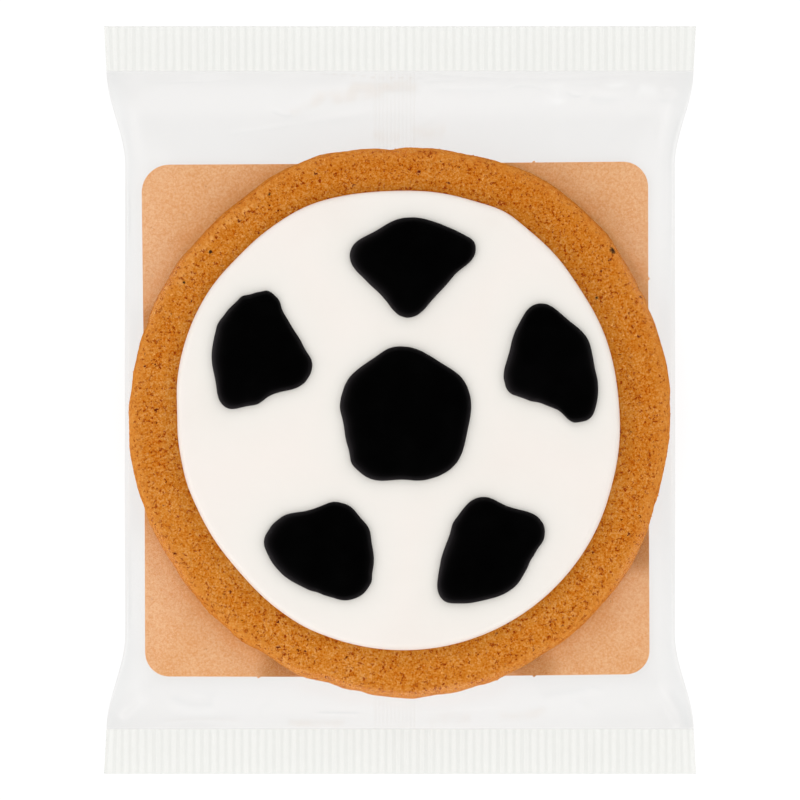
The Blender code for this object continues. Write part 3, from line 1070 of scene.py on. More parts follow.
@dataclass
class Gingerbread:
    """The round biscuit: a closed slab with a soft upper edge, a broken rim and pores."""

    columns: int = 1280
    row_step: float = 0.285
    foot_round: float = 0.9
    top_round: float = 1.3
    draft: float = 0.7
    bare_width: float = 12.5
    bare_band: Point = (11.5, 9.6)
    rim_band: Point = (6.5, 1.5)
    side_band: Point = (3.6, 0.7)
    wall_band: Point = (2.2, 1.2)
    shade_band: Point = (0.9, 0.1)
    icing_shade_band: Point = (6.0, 9.0)
    pit_spacing: float = 3.0
    pit_share: float = 0.15
    pit_depth: float = 0.42
    dimming_bearing: float = math.radians(65)
    swell_height: float = 0.16
    swell_size: float = 7.5
    grain_height: float = 0.07
    grain_size: float = 1.1
    seed: int = 11
    crest_inset: float = 2.5
    crest_width: float = 1.1
    top_from: float = 0.5
    ragged: float = 0.07
    ragged_limit: float = 0.25
    nick_half: float = 0.028
    nicks: tuple[Point, ...] = ((91.5, 0.25), (159.0, 0.35), (262.0, 0.2), (24.0, 0.2))
    crests: tuple[tuple[float, float, float], ...] = ((134.0, 17.0, 1.0), (226.0, 20.0, 0.5))

    def raggedness(self, bearing: Array) -> Array:
        """How far the outline strays from the smooth one, with a few nicks in it.

        Args:
            bearing: Bearings in radians.

        Returns:
            Millimetres outwards.
        """
        draw = np.random.default_rng(self.seed)
        stray = np.zeros(np.shape(bearing))
        for waves in range(9, 46, 3):
            stray += draw.normal() * np.sin(waves * bearing + draw.uniform(0, math.tau))
        stray *= self.ragged / 3.0
        for degrees, depth in self.nicks:
            away = (bearing - math.radians(degrees) + math.pi) % math.tau - math.pi
            stray -= depth * np.exp(-((away / self.nick_half) ** 2))
        return np.minimum(stray, self.ragged_limit)

    def crest(self, points: Array, inset: Array, middle: Point) -> Array:
        """How far the crust's rim shows pale crumbs and a painted highlight on its shoulder.

        Args:
            points: Places in millimetres.
            inset: The distance of each inside the outline.
            middle: The biscuit's middle.

        Returns:
            One share for each point.
        """
        degrees = np.degrees(np.arctan2(points[:, 1] - middle[1], points[:, 0] - middle[0]))
        share = np.zeros(len(points))
        for bearing, spread, strength in self.crests:
            away = (degrees - bearing + 180) % 360 - 180
            share += strength * np.exp(-((away / spread) ** 4))
        return share * np.exp(-(((inset - self.crest_inset) / self.crest_width) ** 2))

    def profile(self, low: float, high: float) -> Array:
        """The section from under the middle, round the edge, to the top's middle.

        Args:
            low: Height of the foot.
            high: Height of the top face.

        Returns:
            Rows of (distance inside the outline, height).
        """
        quarter = np.linspace(0, math.pi / 2, 12)
        foot = self.foot_round
        crown = self.top_round
        foot_arc = [(foot * (1 - math.sin(a)), low + foot * (1 - math.cos(a))) for a in quarter]
        crown_arc = [
            (self.draft + crown * (1 - math.cos(a)), high - crown + crown * math.sin(a))
            for a in quarter
        ]
        seen = np.array(foot_arc + crown_arc + [(self.bare_width, high)])
        run = np.concatenate([[0.0], np.cumsum(np.hypot(*np.diff(seen, axis=0).T))])
        places = np.linspace(0, run[-1], int(run[-1] / self.row_step) + 1)
        fine = np.stack([np.interp(places, run, seen[:, 0]), np.interp(places, run, seen[:, 1])], 1)
        under = [(60.0, low), (50.0, low), (25.0, low), (10.0, low), (4.0, low), (2.0, low)]
        over = [(14.0, high), (20.0, high), (40.0, high), (55.0, high), (60.0, high)]
        return np.concatenate([under, fine, over])

    def relief_tree(self) -> bpy.types.NodeTree:
        """Geometry nodes that raise the crust's swells and grain and sink its pores.

        Returns:
            The tree: it moves points along their normals where the crust is bare and stores
            how deep each lies in a pore.
        """
        lengths = CRUST_LENGTHS + ("Pit Share",)
        wiring = Wiring.on_geometry("crust relief", Float=lengths, Int=("Seed",))
        given = wiring.given()
        start = wiring.point(z=wiring.times(given["Seed"], 0.37))
        place = wiring.vector("ADD", wiring.output("GeometryNodeInputPosition"), start)

        def noise(kind: str, detail: float) -> Any:
            """Relief round zero, whose size and height are the tree's inputs of one kind.

            Args:
                kind: Swell or Grain.
                detail: How many finer layers are added.

            Returns:
                The socket of the height, in metres.
            """
            scale = wiring.math("DIVIDE", 1.0, given[f"{kind} Size"])
            inputs = {"Vector": place, "Scale": scale, "Detail": detail}
            made = wiring.math("SUBTRACT", wiring.output("ShaderNodeTexNoise", inputs), 0.5)
            return wiring.times(made, given[f"{kind} Height"])

        raised = wiring.times(wiring.math("ADD", noise("Swell", 1.0), noise("Grain", 3.0)), 2.0)
        ragged = wiring.vector("ADD", place, wiring.jitter(place, 1.1, 2.0, 0.9))
        scale = wiring.math("DIVIDE", 1.0, given["Pit Spacing"])
        away, chance, size_chance = wiring.cells(ragged, scale)
        radius = wiring.math("MULTIPLY_ADD", size_chance, 0.07, 0.05)
        open_cell = wiring.math("LESS_THAN", chance, given["Pit Share"])
        pit = wiring.times(wiring.ramp(away, radius, 0.0), open_cell)
        sunk = wiring.times(pit, given["Pit Depth"])
        move = wiring.times(wiring.math("SUBTRACT", raised, sunk), wiring.stored("bare"))
        offset = wiring.scaled(wiring.output("GeometryNodeInputNormal"), move)
        stored = wiring.store(given["Geometry"], "pit", pit)
        inputs = {"Geometry": stored, "Offset": offset}
        return wiring.finish(wiring.output("GeometryNodeSetPosition", inputs), given["Material"])

    def build(self, frame: dict, material: bpy.types.Material) -> bpy.types.Object:
        """Makes the biscuit.

        Args:
            frame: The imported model.
            material: The crust's finish.

        Returns:
            The piece.
        """
        low, high = (corner.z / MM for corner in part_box("gingerbread"))
        outline = Outline.of_node(frame["nodes"]["gingerbread"], softness=1.3)
        outline = outline.swelled(BISCUIT_SWELLS)
        bearing = np.linspace(0, math.tau, len(outline.reaches), endpoint=False)
        outline = Outline(outline.middle, outline.reaches + self.raggedness(bearing))
        section = self.profile(low, high)
        obj, inset = turned_piece("biscuit", outline, section, self.columns)
        points = places_of(obj)
        on_top = points[:, 2] > low + self.top_from
        bearing = np.arctan2(points[:, 1] - outline.middle[1], points[:, 0] - outline.middle[0])
        wall = ease(inset, *self.wall_band)
        side = ease(inset, *self.side_band) * (0.7 + 0.3 * np.cos(bearing) ** 2)
        on_card = np.abs(np.sin(2 * bearing)) * np.where(bearing > 0, 0.85, 0.25)
        # Painted shade beside the icing and at the outermost edge beside the card; the crust is
        # also made darker towards the upper right.
        shares = {
            "bare": ease(inset, *self.bare_band) * on_top * (1 + wall),
            "rim": ease(inset, *self.rim_band),
            "side": side,
            "wall": wall,
            "shaded": ease(inset, *self.shade_band) * on_card,
            "icing_shade": ease(inset, *self.icing_shade_band),
            "upper_right_dimming": 0.5 + 0.5 * np.cos(bearing - self.dimming_bearing),
            "crest": self.crest(points, inset, outline.middle),
        }
        for name, share in shares.items():
            set_point_values(obj, name, share)
        values = lengths_of(self, CRUST_LENGTHS)
        values |= {"Pit Share": self.pit_share, "Seed": self.seed, "Material": material}
        run_nodes(obj, self.relief_tree(), values)
        return obj


@dataclass
class Crumbs:
    """Loose crumbs on the biscuit's edge: small lumps scattered by geometry nodes."""

    density: float = 0.055
    smallest: float = 0.07
    largest: float = 0.2
    seed: int = 5

    def tree(self) -> bpy.types.NodeTree:
        """Geometry nodes that scatter lumps over the faces they are given.

        Returns:
            The tree, with its sizes in metres and its density per square metre.
        """
        names = ("Density", "Smallest", "Largest")
        wiring = Wiring.on_geometry("loose crumbs", Float=names, Int=("Seed",))
        given = wiring.given()
        seed = given["Seed"]
        density = wiring.times(given["Density"], wiring.stored("crumbly"))
        scattered = wiring.node(
            "GeometryNodeDistributePointsOnFaces",
            {"Mesh": given["Geometry"], "Density": density, "Seed": seed},
            distribute_method="RANDOM",
        )
        lump = wiring.output("GeometryNodeMeshIcoSphere", {"Radius": 1.0, "Subdivisions": 2})
        size = wiring.node(
            "FunctionNodeRandomValue",
            {2: given["Smallest"], 3: given["Largest"], "Seed": seed},
            data_type="FLOAT",
        ).outputs[1]
        turn = wiring.output(
            "FunctionNodeRandomValue",
            {1: (math.tau, math.tau, math.tau), "Seed": seed},
            data_type="FLOAT_VECTOR",
        )
        placed = wiring.output(
            "GeometryNodeInstanceOnPoints",
            {
                "Points": scattered.outputs["Points"],
                "Instance": lump,
                "Rotation": turn,
                "Scale": wiring.point(size, size, size),
            },
        )
        real = wiring.output("GeometryNodeRealizeInstances", {0: placed})
        push = wiring.jitter(wiring.output("GeometryNodeInputPosition"), 3.0, 1.0, 0.22)
        uneven = wiring.output("GeometryNodeSetPosition", {"Geometry": real, "Offset": push})
        return wiring.finish(uneven, given["Material"])

    def build(self, biscuit: bpy.types.Object, material: bpy.types.Material) -> bpy.types.Object:
        """Scatters the crumbs.

        Args:
            biscuit: The finished biscuit.
            material: The crumbs' finish.

        Returns:
            The piece.
        """
        obj = add_object("loose_crumbs", biscuit.data.copy())
        set_point_values(obj, "crumbly", point_values(obj, "rim") * point_values(obj, "bare"))
        values = lengths_of(self, ("Smallest", "Largest"))
        values |= {"Density": self.density / MM**2, "Seed": self.seed, "Material": material}
        run_nodes(obj, self.tree(), values)
        return obj


# ------------------------------------------------------------------------------ icing


class Patch(Enum):
    """The six black patches, by their place on the biscuit."""

    CENTRE = "centre"
    TOP = "top"
    UPPER_LEFT = "upper_left"
    UPPER_RIGHT = "upper_right"
    LOWER_LEFT = "lower_left"
    LOWER_RIGHT = "lower_right"

    @property
    def node(self) -> str:
        """Name of the patch's CAD node."""
        return f"black_patch_{self.value}"


PATCH_SWELLS = {
    Patch.CENTRE: ((116, 10, -0.25), (175, 9, 0.35), (222, 6, 0.5), (281, 10, 0.32)),
    Patch.TOP: ((5, 9, 0.65), (42, 12, -0.22), (130, 24, -0.22), (183, 8, 0.35), (263, 18, 0.35)),
    Patch.UPPER_LEFT: (
        (70, 5, 0.45), (90, 5, -0.35), (110, 6, 0.45), (150, 7, 0.22), (266, 8, 0.5),
        (310, 16, 0.35), (348, 8, 0.3),
    ),
    Patch.UPPER_RIGHT: (
        (55, 18, -0.27), (215, 8, 0.35), (242, 7, 0.25), (289, 6, 1.3), (314, 8, -0.35),
        (350, 14, -0.3),
    ),
    Patch.LOWER_LEFT: (
        (24, 11, 0.5), (74, 8, 0.25), (131, 15, 0.55), (182, 8, -0.2), (269, 8, -0.3),
        (296, 8, 0.32), (330, 5, 0.3),
    ),
    Patch.LOWER_RIGHT: ((10, 6, 0.35), (145, 8, 0.2), (345, 8, -0.25)),
}
ICING_SWELLS = (
    (91.0, 10.0, -0.38), (36.0, 9.0, -0.42), (63.0, 6.0, 0.65), (113.0, 9.0, 0.48),
    (135.0, 7.0, -0.3), (178.0, 6.0, -0.35), (197.0, 5.0, 0.2), (224.0, 10.0, -0.38),
    (246.0, 5.0, 0.15), (343.0, 9.0, -0.2), (5.0, 9.0, -0.18),
)


def patch_outline(frame: dict, patch: Patch) -> Outline:
    """Outline of a black patch: its CAD node's, with the dents and bulges of piped icing."""
    outline = Outline.of_node(frame["nodes"][patch.node], softness=2.5)
    return outline.swelled(PATCH_SWELLS[patch])


@dataclass
class WhiteIcing:
    """The poured white round with its rolled edge."""

    columns: int = 720
    edge_width: float = 1.5
    row_step: float = 0.55
    foot_gap: float = 0.22
    unevenness: float = 0.05
    uneven_size: float = 21.0
    level_foot: float = 0.5
    moat_depth: float = 0.17
    moat_width: float = 1.5
    painted_shade_width: float = 0.9
    painted_shade_depth: float = 0.5
    cool_width: float = 8.0

    def build(self, frame: dict, material: bpy.types.Material) -> bpy.types.Object:
        """Makes the icing.

        Args:
            frame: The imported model.
            material: The icing's finish.

        Returns:
            The piece.
        """
        low, high = (corner.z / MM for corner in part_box("white_icing"))
        outline = Outline.of_node(frame["nodes"]["white_icing"], softness=1.3)
        outline = outline.swelled(ICING_SWELLS)
        patches = [patch_outline(frame, patch) for patch in Patch]
        foot = low - self.foot_gap
        turns = np.linspace(0, math.pi / 2, 12)
        rolled = [
            (self.edge_width * (1 - math.sin(a)), high - (high - foot) * (1 - math.cos(a)))
            for a in turns[::-1]
        ]
        reach = float(outline.reaches.mean())
        inner = np.arange(self.edge_width + self.row_step, reach, self.row_step)
        top = [(inset, high) for inset in inner]
        profile = np.array([(reach, foot), (20.0, foot), (2.0, foot), *rolled, *top, (reach, high)])

        def lift(x: Array, y: Array, inset: Array, height: Array) -> Array:
            """Unevenness of the top, and the shallow moat that runs round each patch.

            Args:
                x: Places across X.
                y: Places across Y.
                inset: Distances inside the outline, which play no part here.
                height: Heights of the smooth icing.

            Returns:
                What is added to the heights.
            """
            change = self.unevenness * wavy(x, y, self.uneven_size, seed=3)
            for patch in patches:
                away = np.abs(patch.depth_inside(x, y))
                change = change - self.moat_depth * np.exp(-((away / self.moat_width) ** 2))
            return change * ease(height, foot + self.level_foot, high)

        obj, _ = turned_piece("white_icing_round", outline, profile, self.columns, lift)
        x, y = places_of(obj)[:, :2].T
        away = np.min([np.maximum(0, -patch.depth_inside(x, y)) for patch in patches], axis=0)
        # Painted shade on the icing round each black patch.
        set_point_values(obj, "shade_and_sheen", self.painted_shade_depth * np.exp(-away / self.painted_shade_width))
        set_point_values(obj, "cool", np.exp(-away / self.cool_width))
        obj.data.materials.append(material)
        return obj


@dataclass
class BlackPatch:
    """One black icing patch, domed and smooth."""

    patch: Patch
    columns: int = 220
    edge_width: float = 1.25
    edge_rows: int = 11
    row_step: float = 0.7
    foot_gap: float = 0.32
    dome: float = 0.06
    dome_band: Point = (1.5, 7.0)
    sheen_width: float = 0.4

    def build(self, frame: dict, material: bpy.types.Material) -> bpy.types.Object:
        """Makes the patch.

        Args:
            frame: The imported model.
            material: The icing's finish.

        Returns:
            The piece.
        """
        low, high = (corner.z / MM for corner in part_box(self.patch.node))
        outline = patch_outline(frame, self.patch)
        foot = low - self.foot_gap
        shoulder = high - self.dome
        shares = np.linspace(0, 1, self.edge_rows) ** 1.5
        rolled = [
            (self.edge_width * share, foot + (shoulder - foot) * (1 - (1 - share) ** 2.4))
            for share in shares
        ]
        reach = float(outline.reaches.min())
        inner = np.arange(self.edge_width + self.row_step, reach, self.row_step)
        lifts = self.dome * ease(inner, *self.dome_band)
        top = [(inset, shoulder + lift) for inset, lift in zip(inner, lifts)]
        profile = np.array([(reach, foot), (1.0, foot), *rolled, *top, (reach, high)])
        name = f"black_icing_{self.patch.value}"
        obj, inset = turned_piece(name, outline, profile, self.columns)
        # Painted sheen along the rim, wider and stronger on the left and weaker at the top.
        places = places_of(obj)[:, :2] - outline.middle
        spokes = places / (np.hypot(*places.T)[:, None] + 1e-6)
        to_left, to_top = np.maximum(0, -spokes[:, 0]), np.maximum(0, spokes[:, 1])
        thin = self.sheen_width * (1 + 0.55 * to_left - 0.3 * to_top)
        set_point_values(obj, "shade_and_sheen", thin / self.sheen_width * np.exp(-inset / thin))
        obj.data.materials.append(material)
        return obj


# ------------------------------------------------------------------------------ card


@dataclass(frozen=True)
class CutTab:
    """A tiny tab left on the card's edge where it was held in its sheet."""

    place: Point
    width: float = 0.8
    height: float = 0.35


@dataclass(frozen=True)
class CardCorner:
    """A rounded corner of the card.

    It says which corner it is, how far it strays, its radius, and how far the edge after it bows
    outwards.
    """

    side: Point
    stray: Point
    radius: float
    bow: float


@dataclass
class BackingCard:
    """The kraft card under the biscuit, cut a little out of square."""

    turn: float = math.radians(0.35)
    corner_steps: int = 16
    edge_round: float = 0.09
    corners: tuple[CardCorner, ...] = (
        CardCorner((1, 1), (0.58, 0.42), 5.6, -0.07),
        CardCorner((-1, 1), (-0.42, 0.38), 6.2, -0.22),
        CardCorner((-1, -1), (-0.27, 0.10), 5.4, 0.36),
        CardCorner((1, -1), (0.24, -0.06), 5.3, -0.06),
    )
    tabs: tuple[CutTab, ...] = (
        CutTab((29.7, 52.4)),
        CutTab((29.8, -61.1)),
        CutTab((55.0, 27.0)),
        CutTab((-31.4, -61.2)),
    )

    def outline(self, node: bpy.types.Object) -> list[Point]:
        """Corners of the card in millimetres.

        Args:
            node: The card's CAD node.

        Returns:
            Points that turn left round the card.
        """
        along = np.array([math.cos(self.turn), math.sin(self.turn)])
        up = np.array([-along[1], along[0]])
        places = places_of(node)[:, :2]
        across, upward = places @ along, places @ up
        tips = []
        for corner in self.corners:
            side_x, side_y = corner.side
            x = across.max() if side_x > 0 else across.min()
            y = upward.max() if side_y > 0 else upward.min()
            tips.append(along * x + up * y + np.array(corner.stray))
        points = []
        for index, corner in enumerate(self.corners):
            before, tip, after = tips[index - 1], tips[index], tips[(index + 1) % len(tips)]
            run_in = (tip - before) / np.hypot(*(tip - before))
            run_out = (after - tip) / np.hypot(*(after - tip))
            middle = tip - run_in * corner.radius + run_out * corner.radius
            for turn in np.linspace(0, math.pi / 2, self.corner_steps + 1):
                spoke = run_in * math.sin(turn) - run_out * math.cos(turn)
                points.append(tuple(middle + corner.radius * spoke))
            out = np.array([run_out[1], -run_out[0]])
            points.append(tuple((tip + after) / 2 + out * corner.bow))
        return points

    def add_tab(self, points: list[Point], tab: CutTab) -> list[Point]:
        """Puts a tab on the edge nearest to its place.

        Args:
            points: The outline.
            tab: The tab.

        Returns:
            The outline with the tab's corners.
        """
        spot = Vector(tab.place)
        best = None
        for index, start in enumerate(points):
            here, after = Vector(start), Vector(points[(index + 1) % len(points)])
            run = after - here
            if run.length < 4 * tab.width:
                continue
            share = min(1.0, max(0.0, (spot - here).dot(run) / run.length_squared))
            away = (here + run * share - spot).length
            if best is None or away < best[0]:
                best = (away, index, here + run * share, run.normalized())
        _, index, root, along = best
        out = Vector((along.y, -along.x))
        half = along * tab.width / 2
        corners = [root - half, root - half * 0.5 + out * tab.height]
        corners += [root + half * 0.4 + out * tab.height * 0.8, root + half]
        return points[: index + 1] + [tuple(corner) for corner in corners] + points[index + 1 :]

    def build(self, frame: dict, material: bpy.types.Material) -> bpy.types.Object:
        """Makes the card.

        Args:
            frame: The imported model.
            material: The card's finish.

        Returns:
            The piece.
        """
        low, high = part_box("backing_card")
        points = self.outline(frame["nodes"]["backing_card"])
        for tab in self.tabs:
            points = self.add_tab(points, tab)
        mesh = bmesh.new()
        verts = [mesh.verts.new((x * MM, y * MM, low.z)) for x, y in points]
        base = mesh.faces.new(verts)
        lifted = bmesh.ops.extrude_face_region(mesh, geom=[base])["geom"]
        upper = [item for item in lifted if isinstance(item, bmesh.types.BMVert)]
        bmesh.ops.translate(mesh, verts=upper, vec=(0, 0, high.z - low.z))
        bmesh.ops.recalc_face_normals(mesh, faces=mesh.faces)
        rims = [edge for edge in mesh.edges if abs(edge.verts[0].co.z - edge.verts[1].co.z) < 1e-6]
        bmesh.ops.bevel(
            mesh, geom=rims, offset=self.edge_round * MM, segments=2, affect="EDGES", profile=0.5
        )
        data = bpy.data.meshes.new("card")
        mesh.to_mesh(data)
        mesh.free()
        data.shade_smooth()
        data.set_sharp_from_angle(angle=math.radians(40))
        data.materials.append(material)
        return add_object("kraft_card", data)


# ------------------------------------------------------------------------------ film


TAPER = 0.14


@dataclass(frozen=True)
class Wrinkle:
    """A small ridge or hollow in the upper film.

    Its path bows sideways by bow, it is width wide and height high. The fold_shading says how much
    it dims what lies behind as painted shade (above 0) or brightens it as painted highlight (below
    0), and the glow how warm it makes it; beside the biscuit that warmth is a painted reflection of
    the biscuit's colour.
    """

    start: Point
    end: Point
    width: float
    height: float
    fold_shading: float = 0.0
    bow: float = 0.0
    glow: float = 0.0

    def distance(self, x: Array, y: Array) -> tuple[Array, Array]:
        """How far points lie from the path, and where along it the nearest place is.

        Args:
            x: Places along X.
            y: Places along Y.

        Returns:
            The distance in millimetres, and the share of the path from start to end.
        """
        start, end = np.array(self.start), np.array(self.end)
        run = end - start
        side = np.array([-run[1], run[0]]) / np.hypot(*run)
        steps = 10
        shares = np.linspace(0, 1, steps + 1)[:, None]
        path = start + shares * run + (4 * shares * (1 - shares)) * side * self.bow
        nearest = np.full(x.shape, 1e9)
        along = np.zeros(x.shape)
        for index in range(steps):
            here, step = path[index], path[index + 1] - path[index]
            share = ((x - here[0]) * step[0] + (y - here[1]) * step[1]) / (step @ step)
            share = np.clip(share, 0, 1)
            away = np.hypot(x - here[0] - share * step[0], y - here[1] - share * step[1])
            closer = away < nearest
            nearest = np.where(closer, away, nearest)
            along = np.where(closer, (index + share) / steps, along)
        return nearest, along

    def shape(self, x: Array, y: Array) -> Array:
        """The wrinkle's cross-section.

        Args:
            x: Places along X.
            y: Places along Y.

        Returns:
            1 on its line, falling to 0 away from it and at its two ends.
        """
        away, along = self.distance(x, y)
        ends = ease(along, 0.0, TAPER) * ease(along, 1.0, 1.0 - TAPER)
        return np.exp(-((away / self.width) ** 2)) * ends


WRINKLE_ROWS = (
    # Fine lines and soft folds at the upper left.
    ((-60.2, 70.1), (-34.7, 70.9), 0.18, 0.1, 0.5, -0.1),
    ((-44.5, 72.8), (-43.6, 67.9), 0.18, 0.08, 0.35, 0.2),
    ((-39.4, 58.8), (-22.1, 61.2), 0.58, 0.12, 0.28, -0.3),
    ((-22.1, 61.2), (-6.5, 63.7), 0.71, 0.12, 0.22, -0.2),
    ((-52.0, 55.0), (-26.5, 58.6), 1.44, 0.15, 0.15, -0.4),
    ((-28.7, 64.5), (-23.4, 63.0), 0.58, 0.15, 0.6, -0.7),
    ((-25.2, 63.7), (-16.3, 67.9), 1.3, 0.12, 0.1, -0.7, 0.5),
    ((-20.5, 67.0), (-9.0, 67.6), 1.7, 0.1, 0.1, 0.3, 0.45),
    ((-12.4, 69.0), (5.2, 69.3), 1.35, 0.15, 0.75, 0.3, 0.8),
    ((-16.0, 66.4), (-3.0, 68.0), 1.1, 0.08, 0.0, -0.4, 0.4),
    ((-58.0, 72.8), (-57.3, 52.8), 1.66, 0.12, -0.3, -0.4),
    # Lines that start at the middle of the upper crimp and run to the right.
    ((5.4, 72.2), (21.6, 71.2), 0.27, 0.1, 0.5),
    ((5.4, 70.5), (13.2, 70.8), 0.29, 0.1, 0.45, 0.2),
    ((6.8, 69.2), (22.3, 68.8), 0.8, 0.15, 0.38, -0.4),
    ((20.1, 71.3), (46.7, 71.4), 0.2, 0.08, 0.4, -0.1),
    ((42.3, 71.9), (61.3, 71.0), 0.18, 0.08, 0.3, 0.3),
    ((9.9, 66.8), (4.1, 60.8), 0.2, 0.1, 0.3, 1.3),
    # Warm bands beside the biscuit's top edge: painted reflection of the biscuit's colour in the
    # film.
    ((1.8, 58.6), (10.6, 58.9), 2.3, 0.05, 0.25, 0.5, 0.5),
    ((-6.5, 58.2), (0.5, 57.6), 1.6, 0.05, 0.2, 0.5, 0.5),
    # The crinkle at the upper right, with a painted highlight of a bright fan below it.
    ((23.2, 68.5), (32.1, 68.5), 0.31, 0.15, 0.55, 1.1),
    ((34.6, 70.4), (35.2, 65.0), 1.7, 0.2, -0.6, -0.2),
    ((33.6, 67.2), (31.2, 64.5), 1.0, 0.15, -0.35),
    ((35.4, 67.0), (35.6, 54.8), 2.0, 0.2, -0.3, -0.2),
    ((36.7, 68.8), (40.5, 67.6), 0.4, 0.2, 0.75, -0.9),
    ((41.6, 67.4), (48.9, 67.0), 1.2, 0.2, 0.5, -0.7),
    ((38.7, 70.3), (44.7, 70.8), 0.2, 0.12, 0.4, -0.7),
    ((44.5, 70.3), (49.6, 70.1), 0.24, 0.15, -0.55, -0.8),
    ((49.4, 68.3), (53.6, 71.2), 0.22, 0.15, 0.4, -0.2),
    ((51.6, 66.1), (53.4, 69.9), 0.27, 0.15, 0.5, 0.7),
    ((52.6, 69.0), (57.6, 68.0), 1.7, 0.2, -0.75),
    ((59.4, 69.2), (59.8, 66.6), 1.2, 0.2, -0.7),
    ((46.0, 69.6), (51.0, 69.9), 0.9, 0.15, -0.5, 0.3),
    ((55.6, 65.2), (59.6, 66.3), 0.27, 0.15, 0.45, 0.7),
    ((59.6, 66.5), (56.9, 53.7), 1.0, 0.15, -0.28, -0.4),
    ((41.8, 55.0), (56.0, 64.3), 1.77, 0.15, 0.2),
    # Folds above the lower crimp.
    ((-62.4, -70.5), (-55.8, -64.5), 0.84, 0.25, -0.7, -0.4),
    ((-51.3, -65.4), (-40.5, -67.4), 1.3, 0.2, 0.55, -1.3),
    ((-46.9, -63.9), (-40.2, -66.3), 1.33, 0.15, 0.28),
    ((-31.7, -71.9), (-28.7, -67.2), 0.2, 0.15, 0.55, 0.9),
    ((-28.7, -67.2), (-28.0, -73.0), 0.2, 0.15, 0.5, 0.3),
    ((-53.8, -71.4), (-34.0, -71.4), 0.5, 0.08, 0.1, 0.7, 0.3),
    ((-26.1, -71.8), (-11.4, -71.8), 1.1, 0.12, 0.4, 0.0, 0.6),
    ((-19.2, -69.2), (-8.3, -69.4), 0.33, 0.12, 0.9),
    ((-18.7, -67.4), (-9.6, -67.9), 0.22, 0.08, 0.3),
    ((-7.4, -72.9), (0.6, -72.8), 0.27, 0.1, 0.45, 0.0, 0.3),
    ((2.3, -69.2), (23.4, -67.6), 0.33, 0.1, -0.3),
    ((5.5, -70.8), (16.5, -70.6), 1.9, 0.1, 0.25, 0.0, 0.4),
    ((30.5, -66.0), (42.5, -64.2), 1.4, 0.15, 0.45, 0.3),
    ((41.6, -63.4), (45.4, -64.3), 0.67, 0.15, 0.4),
    ((39.6, -66.1), (42.3, -69.6), 0.93, 0.15, 0.28),
    ((20.6, -70.1), (33.3, -68.4), 1.5, 0.1, 0.2, -0.6, 0.5),
    ((56.2, -62.8), (61.8, -73.2), 0.84, 0.25, -0.65, 0.4),
    ((60.0, -63.9), (64.0, -72.8), 0.89, 0.15, 0.28, 0.4),
)
WRINKLES = tuple(Wrinkle(*row) for row in WRINKLE_ROWS)


def crimp_marks() -> tuple[Wrinkle, ...]:
    """The short dashes that the upper crimp's ribs press into the film beside it.

    Returns:
        One wrinkle for each dash.
    """
    marks = []
    for index in range(11):
        x = -17.5 + 2.13 * index
        y = 72.35 - 0.9 * float(ease(index, 0, 7))
        marks.append(Wrinkle((x, y), (x + 1.5, y - 0.05), 0.24, 0.05, 0.7, 0.0, 0.5))
    return tuple(marks)


